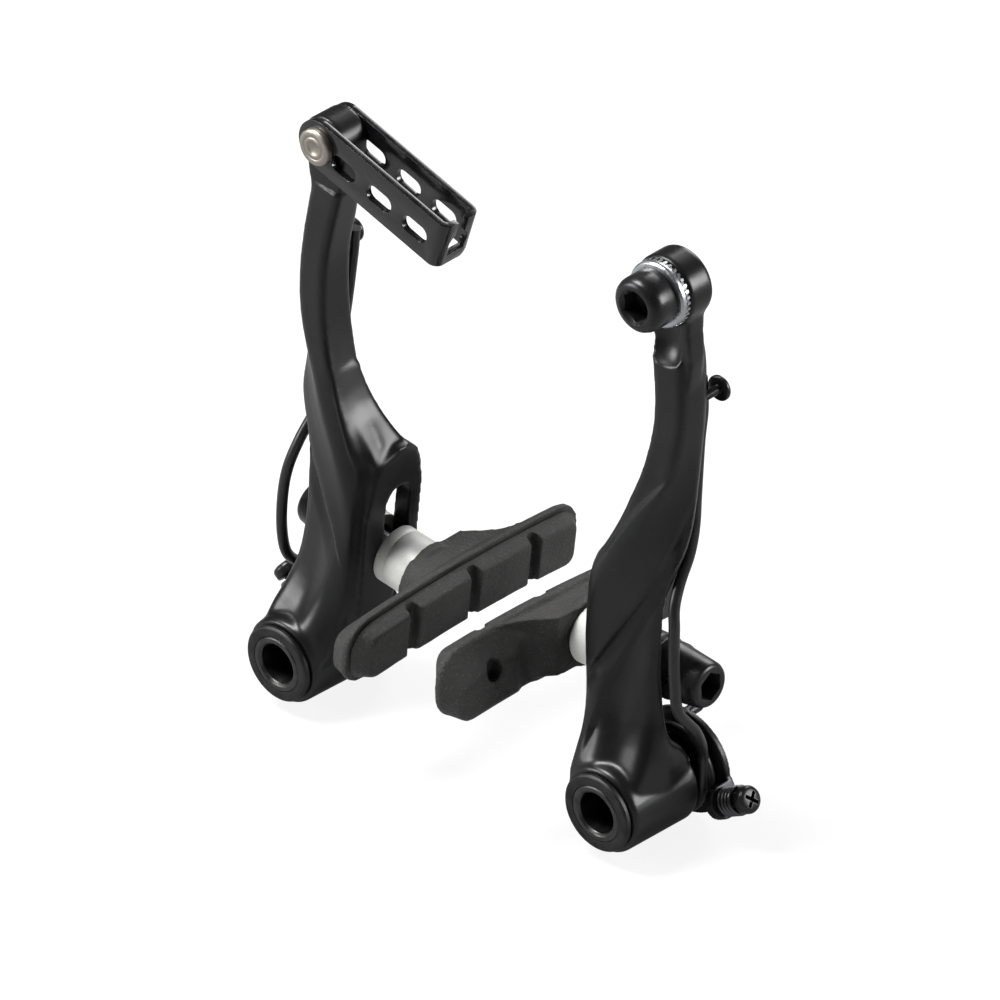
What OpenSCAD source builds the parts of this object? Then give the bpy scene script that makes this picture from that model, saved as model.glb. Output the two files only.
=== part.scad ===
// Linear-pull bicycle rim brake: a left and a right arm that pivot on two frame bosses.
// X runs from left to right, Y runs back towards the bicycle, Z runs up.
// The origin lies midway between the two pivots, in the plane where the sleeves seat on the frame.
// Each half is drawn once, with x outward, y back from its front face and z up, and then placed.

/* [Layout] */
// Distance between the two frame bosses
boss_spacing = 80; // [76:1:86]
// Pivot axis to cable axis, straight up the arm
arm_length = 106.5; // [102:0.5:112]
// How far out from the pivot the cable axis lies
eye_offset = 10.5; // [9:0.5:12]
// Lean of the left arm towards the middle, in degrees
left_lean = 9.5; // [0:0.5:11]
// Turn of the left spring plate to another of the frame's three holes, in degrees
left_plate_turn = 14; // [0:1:15]
// Dip of the link below level, in the arm's own frame, in degrees
link_dip = 11; // [0:1:16]
// Turn of the left pad about its bolt, front end up, in degrees
left_pad_turn = 0; // [-4:1:8]
// Turn of the right pad about its bolt, front end up, in degrees
right_pad_turn = 4; // [-4:1:8]

/* [Pivot] */
// Radius of the hole that takes the frame boss
boss_bore_r = 4.05; // [4:0.05:4.3]
// Wall of the pivot sleeve
sleeve_wall = 1.55; // [1.2:0.05:1.9]
// Length of the pivot sleeve, front face to seat
sleeve_length = 25; // [24.6:0.1:26]
// Running clearance between sleeve and arm, on the radius
pivot_clearance = 0.05; // [0.03:0.01:0.09]
// Radius of the arm's barrel at its front
barrel_front_r = 8.6; // [8.2:0.1:9]
// Radius of the arm's barrel at its back
barrel_back_r = 9.2; // [8.9:0.1:9.6]
// Length of the arm's barrel
barrel_length = 16.4; // [15.8:0.1:16.8]
// Radius of the front collar
collar_r = 7.7; // [7.2:0.1:8]
// Thickness of the front collar
collar_thick = 1.2; // [1:0.1:1.4]

/* [Pad mounting] */
// Height of the pad bolt above the pivot
stud_z = 22.3; // [21.5:0.1:24]
// Depth of the pad bolt behind the front face
stud_y = 19.2; // [19:0.1:20]
// Inner face of the slotted plate, inward of the pivot
plate_inner = 9.8; // [9.4:0.1:10.4]
// Thickness of the slotted plate
plate_thick = 4.2; // [3.8:0.1:4.6]
// Height from the bolt to the top end of its travel
slot_up = 12; // [10:1:14]
// Height from the bolt to the bottom end of its travel
slot_down = 2; // [1:0.5:2.5]
// Radius of the curved washers
washer_r = 5.75; // [5.5:0.05:5.9]
// Rim thickness of the domed washers
dome_rim = 2; // [1.8:0.1:2.2]
// Length of the pad-side cup spacer
spacer_len = 5.9; // [5.6:0.1:7]
// Radius of the pad bolt
stud_r = 2.95; // [2.9:0.05:3]
// Length of the closed nut
nut_len = 10.7; // [10:0.1:12]
// Radius of the closed nut at its seat
nut_r = 5.4; // [5:0.1:5.5]

/* [Brake pad] */
// Length of the pad
pad_len = 62; // [55:1:70]
// Height of the pad
pad_height = 13.8; // [12.6:0.1:15]
// Distance from the middle of the pad to its bolt
pad_offset = 2; // [0:0.5:5]
// Depth of the backing, behind the friction block
backing_depth = 5.6; // [5.2:0.1:6.5]
// Depth of the friction block
block_depth = 3.1; // [2.6:0.1:5]
// Radius of the rim that the pad is curved to
rim_r = 300; // [200:10:320]
// Width of the water grooves
groove_w = 2.8; // [2:0.1:3.2]
// Depth of the water grooves
groove_depth = 2.3; // [1.5:0.1:2.4]

/* [Cable parts] */
// Width of the link over its two flanks
link_w = 9; // [8.6:0.1:10]
// Sheet thickness of the link
sheet = 1.3; // [1:0.1:1.4]
// Rivet axis to the outside of the link's end
link_len = 31.5; // [29:0.5:34]
// Height of the link's flanks
link_h = 9.8; // [9:0.1:10]
// Radius of the rivet's shank
rivet_r = 2.5; // [2.2:0.1:2.8]
// Radius of the round boss at the top of the right arm
boss_r = 6.7; // [6.6:0.1:7.2]
// Radius of the cable bolt's thread
cable_bolt_r = 3; // [2.9:0.05:3.1]
// Across the flats of the cable bolt's socket
socket_af = 5; // [4:1:5]
// Thickness of the cable clamp washer
clamp_thick = 2; // [1.6:0.1:2.4]

/* [Springs] */
// Radius of the return spring's wire
wire_r = 1.05; // [0.95:0.05:1.05]
// Mean radius of the return spring's coil
coil_r = 7.9; // [7.85:0.05:8]
// Outer radius of the spring plate
plate_r = 10.6; // [10.4:0.1:11.4]
// Thickness of the spring plate
spring_plate_thick = 1.3; // [1:0.1:1.3]
// Radius of the adjusting screw
screw_r = 1.5; // [1.4:0.05:1.55]
// Wire radius of the small spring on the adjusting screw
small_wire_r = 0.42; // [0.3:0.02:0.44]

/* [Hidden] */
$fn = 64;
left = -1;
right = 1;
smooth = 32;
fit = 0.02;
slack = 0.1;

// Levels along the pivot, measured back from the front face
seat_y = sleeve_length;
collar_back = collar_thick;
barrel_front = collar_back + 0.4;
barrel_back = barrel_front + barrel_length;
sleeve_r = boss_bore_r + sleeve_wall;
shoulder_r = sleeve_r + 0.7;
shoulder_front = barrel_back + 0.15;
plate_back = seat_y - 0.2;
plate_front = plate_back - spring_plate_thick;

// The pad bolt's stack, inward and outward of the slotted plate
plate_outer = plate_inner - plate_thick;
plate_mid = plate_inner - plate_thick / 2;
dome_seat = plate_thick / 2 + dome_rim;
seat_ball_r = sqrt(dome_seat * dome_seat + washer_r * washer_r);
spacer_top = plate_inner + dome_rim + slack;
pad_boss_x = spacer_top + spacer_len;
cup_len = 3.3;
washer_len = 1;
washer_x = -plate_outer + dome_rim + slack + cup_len;
nut_x = washer_x + washer_len;
stud_end = nut_x + 0.55 * nut_len;
slot_w = 2 * stud_r + 0.7;
stem_back = stud_y - max(washer_r, nut_r) - 0.65;

// The head of each arm
head_y = 15.9;
head_thick = link_w - 2 * sheet - 0.2;
eye = [eye_offset, head_y, arm_length];
boss_front = head_y - 4.5;
boss_back = head_y + 1.6;
pin_z = arm_length - 24.7;
pin_x = eye_offset + 0.9;
pin_root = head_y - 1;
pin_y = head_y + 7.8;
pin_r = 0.9;
pin_head_r = 2.45;

// The return spring and the screw that tunes it
coil_front = barrel_back + wire_r + 0.85;
coil_back = plate_front - wire_r - 0.15;
hook_x = pin_x - pin_r - wire_r - 0.25;
hook_y = pin_y - 0.2 - wire_r - 0.5;
screw_tilt = 26;
lug_thick = 2;
lug_r = 3.2;
lug_x = plate_r + 0.8;
lug_z = -3.2;
lug_y = (coil_front + coil_back) / 2;
small_coil_r = screw_r + small_wire_r + 0.5;
small_turns = 4.5;
small_spring_len = 5.1;
screw_head_r = 2.6;
screw_head_len = 2.3;
screw_tip = 0.5;

// Smooth curve through a list of [height, value, value] points
function span_of(line, z, i = 0) = (i >= len(line) - 2 || z <= line[i + 1][0]) ? i : span_of(line, z, i + 1);
function slope_at(line, i, k) =
    let (a = max(i - 1, 0), b = min(i + 1, len(line) - 1))
    (line[b][k] - line[a][k]) / (line[b][0] - line[a][0]);
function curve(line, z, k) =
    let (i = span_of(line, z), h = line[i + 1][0] - line[i][0], t = (z - line[i][0]) / h)
    (2 * t * t * t - 3 * t * t + 1) * line[i][k]
    + (t * t * t - 2 * t * t + t) * h * slope_at(line, i, k)
    + (3 * t * t - 2 * t * t * t) * line[i + 1][k]
    + (t * t * t - t * t) * h * slope_at(line, i + 1, k);

// Outline with every corner cut back to a small arc, and points between to keep long sides even
function round_corners(pts, cut) = [for (i = [0:len(pts) - 1])
    let (p = pts[i], a = pts[(i + len(pts) - 1) % len(pts)] - p, b = pts[(i + 1) % len(pts)] - p)
    let (ca = min(cut, 0.4 * norm(a)) / norm(a), cb = min(cut, 0.4 * norm(b)) / norm(b))
    let (q1 = p + cb * b, q2 = p + (1 - cb) * b)
    each [p + ca * a, p + 0.25 * (ca * a + cb * b), q1, (2 * q1 + q2) / 3, (q1 + 2 * q2) / 3]];

// Skin over a stack of rings that all have the same number of points
module skin(rings) {
    n = len(rings[0]);
    last = len(rings) - 1;
    sides = [for (k = [0:last - 1], i = [0:n - 1])
        let (j = (i + 1) % n, a = k * n + i, b = a + n, c = (k + 1) * n + j, d = k * n + j)
        let (straight = norm(rings[k][i] - rings[k + 1][j]) < norm(rings[k + 1][i] - rings[k][j]))
        each (straight ? [[a, b, c], [a, c, d]] : [[a, b, d], [b, c, d]])];
    floor_face = [for (i = [0:n - 1]) i];
    top_face = [for (i = [n - 1:-1:0]) last * n + i];
    polyhedron([for (ring = rings) each ring], concat([floor_face], sides, [top_face]), convexity = 6);
}

// Round bar swept along a path that never runs along up
function across(d, up) = cross(up, d) / norm(cross(up, d));
function heading(path, i) =
    let (v = path[min(i + 1, len(path) - 1)] - path[max(i - 1, 0)]) v / norm(v);
module bar(path, r, sides, up) {
    rings = [for (i = [0:len(path) - 1]) let (d = heading(path, i), u = across(d, up), v = cross(d, u))
        [for (k = [0:sides - 1]) path[i] + r * (cos(360 * k / sides) * u + sin(360 * k / sides) * v)]];
    skin(rings);
}

// Point on a route of hand-set points, at a share of its length
function route_point(route, s) = let (line = [for (i = [0:len(route) - 1]) concat([i], route[i])], z = s * (len(route) - 1))
    [curve(line, z, 1), curve(line, z, 2), curve(line, z, 3)];

// A half's own frame, placed on its boss
module half(side) {
    translate([side * boss_spacing / 2, -seat_y, 0]) mirror([side == left ? 1 : 0, 0, 0]) children();
}
// The frame of a half's arm, which leans about the pivot
module on_arm(side) {
    half(side) rotate([0, side == left ? -left_lean : 0, 0]) children();
}
// A solid of revolution about Y, drawn as [radius, distance back]
module turned(profile) {
    rotate([-90, 0, 0]) mirror([0, 1, 0]) rotate_extrude() polygon(profile);
}
module rod_y(r, y0, y1, n = 64) {
    translate([0, y0, 0]) rotate([-90, 0, 0]) cylinder(r = r, h = y1 - y0, $fn = n);
}
// The frame of the pad bolt: z runs outward, away from the wheel
module on_stud() {
    translate([0, stud_y, stud_z]) rotate([0, 90, 0]) children();
}

// The arm's forging: edges that run up it, each point a height, a distance outward and a depth.
// Heights above the slotted plate stretch with the arm, and its top follows the eye.
plate_top = 46;
drawn_length = 106.5;
drawn_offset = 10.5;
stretch = (arm_length - plate_top) / (drawn_length - plate_top);
function lift(z) = z <= plate_top ? z : plate_top + (z - plate_top) * stretch;
function drift(z) = (eye_offset - drawn_offset) * max(0, z - plate_top) / (arm_length - plate_top);
function fitted(line) = [for (p = line) [lift(p[0]), p[1] + drift(lift(p[0])), p[2]]];
front_inner = fitted([[-2, -7.7, 2.0], [4, -8.9, 2.7], [8, -8.8, 4.3], [12, -8.5, 6.1], [18, -8.7, 8.0],
    [32, -8.7, 8.7], [41, -7.9, 8.6], [47, -6.3, 8.5], [52, -3.4, 8.6], [58, -0.3, 9.1], [70, 4.7, 10.4],
    [82, 6.8, 11.4], [104, 4.6, 12.6]]);
upper_ridge = fitted([[-2, -5.6, 1.7], [4, -7.3, 1.9], [8, -7.4, 3.1], [12, -7.4, 4.9], [18, -7.7, 6.9],
    [32, -8.0, 7.7], [41, -5.8, 7.5], [47, -2.8, 7.7], [52, 1.0, 8.4], [58, 4.8, 9.2], [70, 11.2, 10.6],
    [82, 13.4, 11.8], [104, 12.3, 12.9]]);
lower_ridge = fitted([[-2, -2.0, 1.7], [4, -2.8, 1.8], [8, -3.0, 2.4], [12, -3.6, 4.2], [18, -4.7, 6.2],
    [28, -5.1, 7.3], [34, -1.5, 8.2], [41, 3.6, 9.7], [47, 7.9, 11.5], [52, 11.0, 13.1], [58, 12.1, 14.9],
    [70, 12.9, 16.6], [82, 13.7, 17.7], [92, 13.5, 18.4], [104, 12.7, 16.4]]);
flute = fitted([[-2, 1.6, 1.8], [4, 1.2, 2.2], [8, 0.8, 4.0], [12, 0.3, 6.6], [18, -0.3, 8.4],
    [28, -0.4, 9.3], [34, 1.6, 9.8], [41, 5.0, 10.7], [47, 8.5, 12.2], [52, 10.9, 13.8], [58, 11.8, 15.5],
    [70, 12.6, 17.2], [82, 13.4, 18.2], [92, 13.2, 18.9], [104, 12.4, 16.8]]);
outer_ridge = fitted([[-2, 6.2, 1.9], [4, 6.8, 2.6], [8, 6.8, 4.4], [12, 6.2, 7.0], [18, 5.4, 9.6],
    [28, 4.9, 10.4], [34, 5.1, 10.6], [41, 6.3, 11.2], [47, 8.8, 12.8], [52, 10.8, 14.5], [58, 11.6, 16.1],
    [70, 12.3, 17.8], [82, 13.1, 18.8], [92, 12.9, 19.3], [104, 12.1, 17.1]]);
outer_edge = fitted([[-2, 8.0, 9.0], [8, 8.4, 11.2], [18, 6.7, 12.1], [28, 6.3, 12.3], [41, 7.5, 12.6],
    [47, 9.0, 13.9], [52, 10.4, 15.2], [58, 11.1, 16.7], [70, 11.8, 18.2], [82, 12.5, 19.1], [92, 12.3, 19.5],
    [104, 11.6, 17.3]]);
back_outer = fitted([[-2, 8.0, 17.6], [8, 7.6, 17.0], [13.5, 6.6, stem_back], [28, 5.5, stem_back],
    [41, 6.6, stem_back + 0.1], [47, 7.8, 15.2], [52, 9.2, 16.5], [58, 9.9, 17.5], [70, 10.8, 18.6],
    [82, 11.4, 19.3], [92, 11.2, 19.6], [104, 10.6, 17.4]]);
back_inner = fitted([[-2, -8.0, 17.6], [8, -7.6, 17.0], [13.5, -9.0, stem_back], [28, -9.4, stem_back],
    [41, -9.4, stem_back + 0.1], [46, -9.2, 15.2], [49, -6.9, 16.2], [52, -3.8, 16.8], [58, 0.2, 17.4],
    [70, 5.0, 18.5], [82, 6.9, 19.1], [92, 6.2, 19.3], [104, 4.8, 17.4]]);
edges = [front_inner, upper_ridge, lower_ridge, flute, outer_ridge, outer_edge, back_outer, back_inner];
function arm_section(z) = [for (line = edges) [curve(line, z, 1), curve(line, z, 2)]];

module stem(z0, z1, steps) {
    rings = [for (k = [0:steps]) let (z = z0 + (z1 - z0) * k / steps)
        [for (p = round_corners(arm_section(z), 1.2)) [p[0], p[1], z]]];
    skin(rings);
}

// The flat plate with the height slot for the pad bolt
module slotted_plate() {
    rear = stud_y + slot_w / 2 + 2.6;
    slot_top = stud_z + slot_up;
    outline = [[barrel_front + 8, 2], [10.4, 18], [10.4, slot_top - 1], [11.6, slot_top + 7],
        [14, slot_top + 10.6], [rear - 7, slot_top + 12.4], [rear - 4, slot_top + 12.2],
        [rear - 1.6, slot_top + 10.2], [rear - 0.3, slot_top + 6.8], [rear, slot_top + 3], [rear, stud_z],
        [barrel_back + 0.4, 9], [barrel_back, 2]];
    translate([-plate_inner, 0, 0]) rotate([90, 0, 90]) linear_extrude(plate_thick) polygon(outline);
}
module slot_cut() {
    z0 = stud_z - slot_down;
    z1 = stud_z + slot_up;
    for (z = [z0, z1]) {
        translate([-plate_inner - 1, stud_y, z]) rotate([0, 90, 0]) cylinder(d = slot_w, h = plate_thick + 2);
    }
    translate([-plate_inner - 1, stud_y - slot_w / 2, z0]) cube([plate_thick + 2, slot_w, z1 - z0]);
}

module barrel() {
    turned([[sleeve_r + pivot_clearance, barrel_front], [barrel_front_r - 0.5, barrel_front],
        [barrel_front_r, barrel_front + 0.5], [barrel_back_r, barrel_back - 0.6],
        [barrel_back_r - 0.6, barrel_back], [sleeve_r + pivot_clearance, barrel_back]]);
}

module arm_blank(top) {
    difference() {
        union() {
            stem(-2, top, 46);
            slotted_plate();
        }
        rod_y(barrel_front_r - 0.6, -1, barrel_back + 4);
        translate([-20, barrel_back, -8]) cube([40, 8, 16]);
    }
    barrel();
}

// Left head: a thin tongue between the link's flanks
module tongue() {
    tongue_r = link_h / 2 + 0.2;
    translate([0, head_y + head_thick / 2, 0]) rotate([90, 0, 0]) linear_extrude(head_thick) {
        hull() {
            translate([eye_offset, arm_length]) circle(r = tongue_r, $fn = smooth);
            translate([eye_offset - 4.6, arm_length - 12]) square([6.6, 4]);
        }
    }
}
module arm_left() {
    color("#1d1d1f") on_arm(left) difference() {
        union() {
            arm_blank(arm_length - 9.3);
            tongue();
        }
        translate([eye_offset, 0, arm_length]) rod_y(rivet_r + 0.05, 0, 40);
        pin_hole();
        slot_cut();
    }
}

// Right head: a round boss that carries the cable clamp, with a scooped recess below it
module arm_right() {
    color("#1d1d1f") on_arm(right) difference() {
        union() {
            difference() {
                arm_blank(arm_length - 2.5);
                translate([eye_offset - 0.8, boss_front - 4.2, arm_length - 10.2]) sphere(r = 7.5);
            }
            translate([eye_offset, 0, arm_length]) turned([[0, boss_front], [boss_r - 0.4, boss_front],
                [boss_r, boss_front + 0.4], [boss_r, boss_back - 0.8], [boss_r - 0.8, boss_back], [0, boss_back]]);
        }
        translate([eye_offset, 0, arm_length]) rod_y(cable_bolt_r + 0.05, 0, 40);
        pin_hole();
        slot_cut();
    }
}
module pin_hole() {
    translate([pin_x, 0, pin_z]) rod_y(pin_r + fit, pin_root - 0.1, pin_y);
}

// Sleeve that the arm turns on, clamped to the frame boss
module pivot_sleeve(side) {
    color("#77777b") half(side) turned([[boss_bore_r + 0.4, 0], [sleeve_r - 0.2, 0], [sleeve_r, 0.2],
        [sleeve_r, shoulder_front], [shoulder_r, shoulder_front], [shoulder_r, plate_front],
        [sleeve_r, plate_front], [sleeve_r, seat_y], [boss_bore_r, seat_y], [boss_bore_r, 0.4]]);
}
module front_collar(side) {
    color("#4a4a4e") half(side) turned([[sleeve_r + fit, 0.1], [collar_r - 0.3, 0.1], [collar_r, 0.4],
        [collar_r, collar_back], [sleeve_r + fit, collar_back]]);
}

// The frame of a half's spring plate
module on_plate(side) {
    half(side) rotate([0, side == left ? -left_plate_turn : 0, 0]) children();
}
// The frame of the adjusting screw: z runs outward along it, from the middle of the lug
module on_screw() {
    translate([lug_x, lug_y, lug_z]) rotate([0, 90 - screw_tilt, 0]) children();
}
// Round plate behind the spring, with a bent-up lug and a peg for the frame's hole
module spring_plate(side) {
    color("#3a3a3e") on_plate(side) difference() {
        union() {
            rod_y(plate_r, plate_front, plate_back);
            on_screw() translate([0, 0, -lug_thick / 2]) cylinder(r = lug_r, h = lug_thick);
            on_screw() translate([-lug_r, 0, -lug_thick / 2]) cube([2 * lug_r, plate_back - lug_y, lug_thick]);
            translate([0, 0, 9.4]) rod_y(1.1, plate_front + 0.3, plate_back + 3.6);
        }
        rod_y(sleeve_r + fit, plate_front - 1, plate_back + 1);
        on_screw() cylinder(r = screw_r + 0.05, h = 4 * lug_thick, center = true);
    }
}

// Coil round the pivot and a long leg that ends on the arm's pin
function coil_path(steps) = [for (k = [0:steps]) let (turn = -394 + 394 * k / steps)
    [coil_r * cos(turn), coil_back + (coil_front - coil_back) * k / steps, coil_r * sin(turn)]];
leg_right = [[coil_r + 0.35, coil_front + 0.1, 6.6], [10.3, 16.4, 13.6], [9.9, 12.6, 19.6], [9.6, 12.2, 26],
    [9.6, 12.0, 32], [9.7, 12.1, 37], [9.1, 13.0, 41], [8.7, 15.1, 45], [9.1, 17.4, 50], [9.1, 18.9, 55],
    [8.6, 20.2, 61], [hook_x - 0.6, hook_y - 0.5, 71], [hook_x, hook_y, pin_z - 4], [hook_x, hook_y, pin_z + 2.4]];
function leaned(p, a) = [p[0] * cos(a) - p[2] * sin(a), p[1], p[2] * cos(a) + p[0] * sin(a)];
leg_left = [[coil_r + 0.5, coil_front, 6.2], [9.7, 17.4, 10], [9.3, 13.6, 14.4], [9.0, 12.4, 20],
    [8.3, 12.3, 27], [6.6, 12.4, 34], [5.0, 14.4, 40], [3.6, 17.8, 45.6], [1.8, 20.3, 52.5],
    [-1.4, 21.1, 64], leaned([hook_x, hook_y, pin_z - 4], left_lean),
    leaned([hook_x, hook_y, pin_z + 2.4], left_lean)];
module return_spring(side) {
    leg = side == left ? leg_left : leg_right;
    route = concat([[coil_r, coil_front, 0]], leg);
    steps = 42;
    path = concat(coil_path(36), [for (k = [1:steps]) route_point(route, k / steps)]);
    color("#151517") half(side) bar(path, wire_r, 8, [0, 1, 0]);
}
module spring_pin(side) {
    color("#2a2a2c") on_arm(side) translate([pin_x, 0, pin_z]) turned([[0, pin_root],
        [pin_r, pin_root], [pin_r, pin_y - 0.2], [pin_head_r - 0.2, pin_y - 0.2],
        [pin_head_r, pin_y], [pin_head_r, pin_y + 0.6], [pin_head_r - 0.5, pin_y + 1], [0, pin_y + 1]]);
}

// Screw that tunes the spring, and the small coil under its head
module adjuster_screw(side) {
    head0 = lug_thick / 2 + small_spring_len;
    head1 = head0 + screw_head_len;
    color("#2c2c2e") on_plate(side) on_screw() difference() {
        rotate_extrude() polygon([[0, -lug_thick / 2 - screw_tip], [screw_r - 0.3, -lug_thick / 2 - screw_tip],
            [screw_r, -lug_thick / 2 - screw_tip + 0.3], [screw_r, head0], [screw_head_r, head0],
            [screw_head_r, head1 - 0.7], [screw_head_r - 0.8, head1], [0, head1]]);
        for (a = [45, 135]) {
            rotate([0, 0, a]) translate([-1.6, -0.35, head1 - 1]) cube([3.2, 0.7, 2]);
        }
    }
}
module adjuster_spring(side) {
    z0 = lug_thick / 2 + small_wire_r + 0.05;
    rise = small_spring_len - 2 * small_wire_r - 0.1;
    steps = small_turns * 12;
    path = [for (k = [0:steps]) let (a = 360 * small_turns * k / steps)
        [small_coil_r * cos(a), small_coil_r * sin(a), z0 + rise * k / steps]];
    color("#8b8b90") on_plate(side) on_screw() bar(path, small_wire_r, 6, [0, 0, 1]);
}

// Ball seat of the pad bolt, centred in the slotted plate
module seat_ball(extra) {
    translate([0, 0, -plate_mid]) sphere(r = seat_ball_r + extra);
}
// A domed washer, flat against the inner or the outer face of the slotted plate
module dome_washer(side, inner) {
    seat = inner ? -plate_inner - seat_ball_r : -plate_outer;
    color("#b9b9b4") on_arm(side) on_stud() difference() {
        intersection() {
            translate([0, 0, seat]) cylinder(r = washer_r, h = seat_ball_r);
            seat_ball(0);
        }
        translate([0, 0, -plate_mid]) cylinder(r = stud_r + 0.75, h = 3 * seat_ball_r, center = true);
    }
}
module pad_spacer(side) {
    color("#c9c9c4") on_arm(side) on_stud() difference() {
        translate([0, 0, -pad_boss_x]) cylinder(r = washer_r, h = spacer_len);
        seat_ball(slack);
        translate([0, 0, -pad_boss_x - 1]) cylinder(r = stud_r + 0.1, h = spacer_len + 2);
    }
}
module cup_washer(side) {
    color("#2a2a2c") on_arm(side) on_stud() difference() {
        translate([0, 0, -plate_outer + dome_rim + slack]) cylinder(r = washer_r, h = cup_len);
        seat_ball(slack);
        translate([0, 0, -20]) cylinder(r = stud_r + 0.1, h = 30);
    }
}
module flat_washer(side) {
    color("#2a2a2c") on_arm(side) on_stud() difference() {
        translate([0, 0, washer_x]) cylinder(r = nut_r + 0.2, h = washer_len);
        cylinder(r = stud_r + 0.1, h = 30, center = true);
    }
}
module pad_nut(side) {
    color("#1a1a1c") on_arm(side) on_stud() difference() {
        translate([0, 0, nut_x]) rotate_extrude() polygon([[0, 0], [nut_r, 0], [nut_r, 0.25 * nut_len],
            [nut_r - 1.1, nut_len - 0.4], [nut_r - 1.5, nut_len], [0, nut_len]]);
        translate([0, 0, nut_x - 1]) cylinder(r = stud_r + 0.05, h = 1 + 0.6 * nut_len);
        translate([0, 0, nut_x + 0.6 * nut_len - 0.01]) cylinder(d = socket_af / cos(30), h = nut_len, $fn = 6);
    }
}
// The bolt's round head is moulded into the pad
stud_grip = 3.2;
stud_head_r = 5;
stud_head_len = 1.4;
module pad_stud(side) {
    color("#6f6f73") on_arm(side) on_stud() translate([0, 0, -pad_boss_x - stud_grip]) {
        cylinder(r = stud_r, h = pad_boss_x + stud_grip + stud_end);
        translate([0, 0, -stud_head_len]) cylinder(r = stud_head_r, h = stud_head_len);
    }
}

// Pad of moulded rubber. Both sides use the same moulding, turned end for end.
// It is drawn with x away from the wheel, y along the rim and z up, its bolt at the origin.
pad_back = 2;
pad_seam = pad_back + backing_depth;
pad_face = pad_seam + block_depth;
hub_reach = washer_r + 2.4;
hub_half = pad_height / 2 - 0.9;
module on_pad(side) {
    on_arm(side) translate([-pad_boss_x, stud_y, stud_z])
        rotate([side == left ? -left_pad_turn : -right_pad_turn, 0, 0]) mirror([0, side == left ? 0 : 1, 0]) children();
}
// Outline at a depth: trimmed at its top, its bottom and both ends, with round corners,
// and bent down towards both ends like the rim
function bent(y, z) = z - y * y / (2 * rim_r);
function pad_ring(depth, top, bottom, ends, r) =
    let (h = (pad_height - top - bottom) / 2 - r, l = pad_len / 2 - ends - r, mid = (bottom - top) / 2)
    let (flat = [for (c = [[1, 1, 0], [-1, 1, 90], [-1, -1, 180], [1, -1, 270]])
        each concat([for (k = [0:4]) let (a = c[2] + 22.5 * k) [c[0] * l + r * cos(a), c[1] * h + r * sin(a)]],
            c[0] * c[1] > 0 ? [for (i = [1:7]) [c[0] * l * (1 - i / 4), c[1] * (h + r)]] : [])])
    [for (p = flat) [-depth, pad_offset + p[0], bent(pad_offset + p[0], mid + p[1])]];
// The backing slopes from a crest at the bolt's height up to its top edge, and is fuller below it
module pad_body() {
    half_height = pad_height / 2;
    intersection() {
        skin([pad_ring(pad_face, 2.3, 2.3, 4, 2), pad_ring(pad_face - 0.4, 2, 2, 3.4, 2.2),
            pad_ring(pad_seam + 0.1, 1, 1, 1, 4.6), pad_ring(pad_seam, 0.9, 0.9, 0.9, 4.6),
            pad_ring(pad_seam - 0.1, 0, 0, 0.1, 5.4), pad_ring(pad_back + 4.4, 0, 0, 0, 5.4),
            pad_ring(pad_back + 3.8, 0.5, 0, 0.4, 5.2), pad_ring(pad_back + 1, half_height - 2.8, 0.1, 1.9, 3.2),
            pad_ring(pad_back + 0.3, half_height - 1.9, 0.7, 2.4, 2.6),
            pad_ring(pad_back - 0.3, half_height - 0.3, 2.1, 3.6, 1.4)]);
        translate([-2 * pad_face, -pad_len, -pad_len]) cube([2 * pad_face - pad_back, 2 * pad_len, 2 * pad_len]);
    }
}
// Hollow across the backing, beside the seat for the spacer on the pad's long side
module pad_hollow() {
    r = 5;
    translate([r - pad_back - 1.5, hub_reach + r, 0]) cylinder(r = r, h = 2 * pad_height, center = true);
}
// Seat for the spacer: round, with a wing on the pad's long side that sweeps down to the edge of the backing
module pad_hub() {
    wing = 10;
    drop = pad_back + 3.4;
    sweep = [for (k = [0:6]) [-0.2 - drop * sin(15 * k), hub_reach + wing * k / 6]];
    floor_x = -drop - 0.6;
    intersection() {
        union() {
            translate([0, 0, -2 * hub_half]) linear_extrude(4 * hub_half)
                polygon(concat([[floor_x, 0], [-0.2, 0]], sweep, [[floor_x, hub_reach + wing]]));
            translate([floor_x, 0, 0]) rotate([0, 90, 0])
                cylinder(r1 = hub_reach + 1.6, r2 = hub_reach, h = -0.5 - floor_x);
        }
        cube([8 * hub_reach, 8 * hub_reach, 2 * hub_half], center = true);
    }
    translate([-pad_back, 0, 0]) rotate([0, 90, 0]) cylinder(r = washer_r + 0.9, h = pad_back);
}
module pad_groove(y) {
    end_z = pad_height / 2 - 1.2 - groove_w / 2;
    translate([0, 0, bent(y, 0)]) {
        for (z = [-end_z, end_z]) {
            translate([-pad_face - 1, y, z]) rotate([0, 90, 0]) cylinder(d = groove_w, h = 1 + groove_depth);
        }
        translate([-pad_face - 1, y - groove_w / 2, -end_z]) cube([1 + groove_depth, groove_w, 2 * end_z]);
    }
}
module brake_pad(side) {
    color("#3b3b3e") on_pad(side) difference() {
        union() {
            difference() {
                pad_body();
                pad_hollow();
            }
            pad_hub();
        }
        for (k = [-1:1]) pad_groove(pad_offset + 0.26 * pad_len * k);
        translate([-pad_back - 2.6, pad_offset + pad_len / 3, 0]) rotate([0, 90, 0]) cylinder(r = 2, h = 4);
        translate([-stud_grip, 0, 0]) rotate([0, 90, 0]) cylinder(r = stud_r + fit, h = 8);
        translate([-stud_grip - stud_head_len - fit, 0, 0]) rotate([0, 90, 0])
            cylinder(r = stud_head_r + fit, h = stud_head_len + 2 * fit);
    }
}

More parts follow.
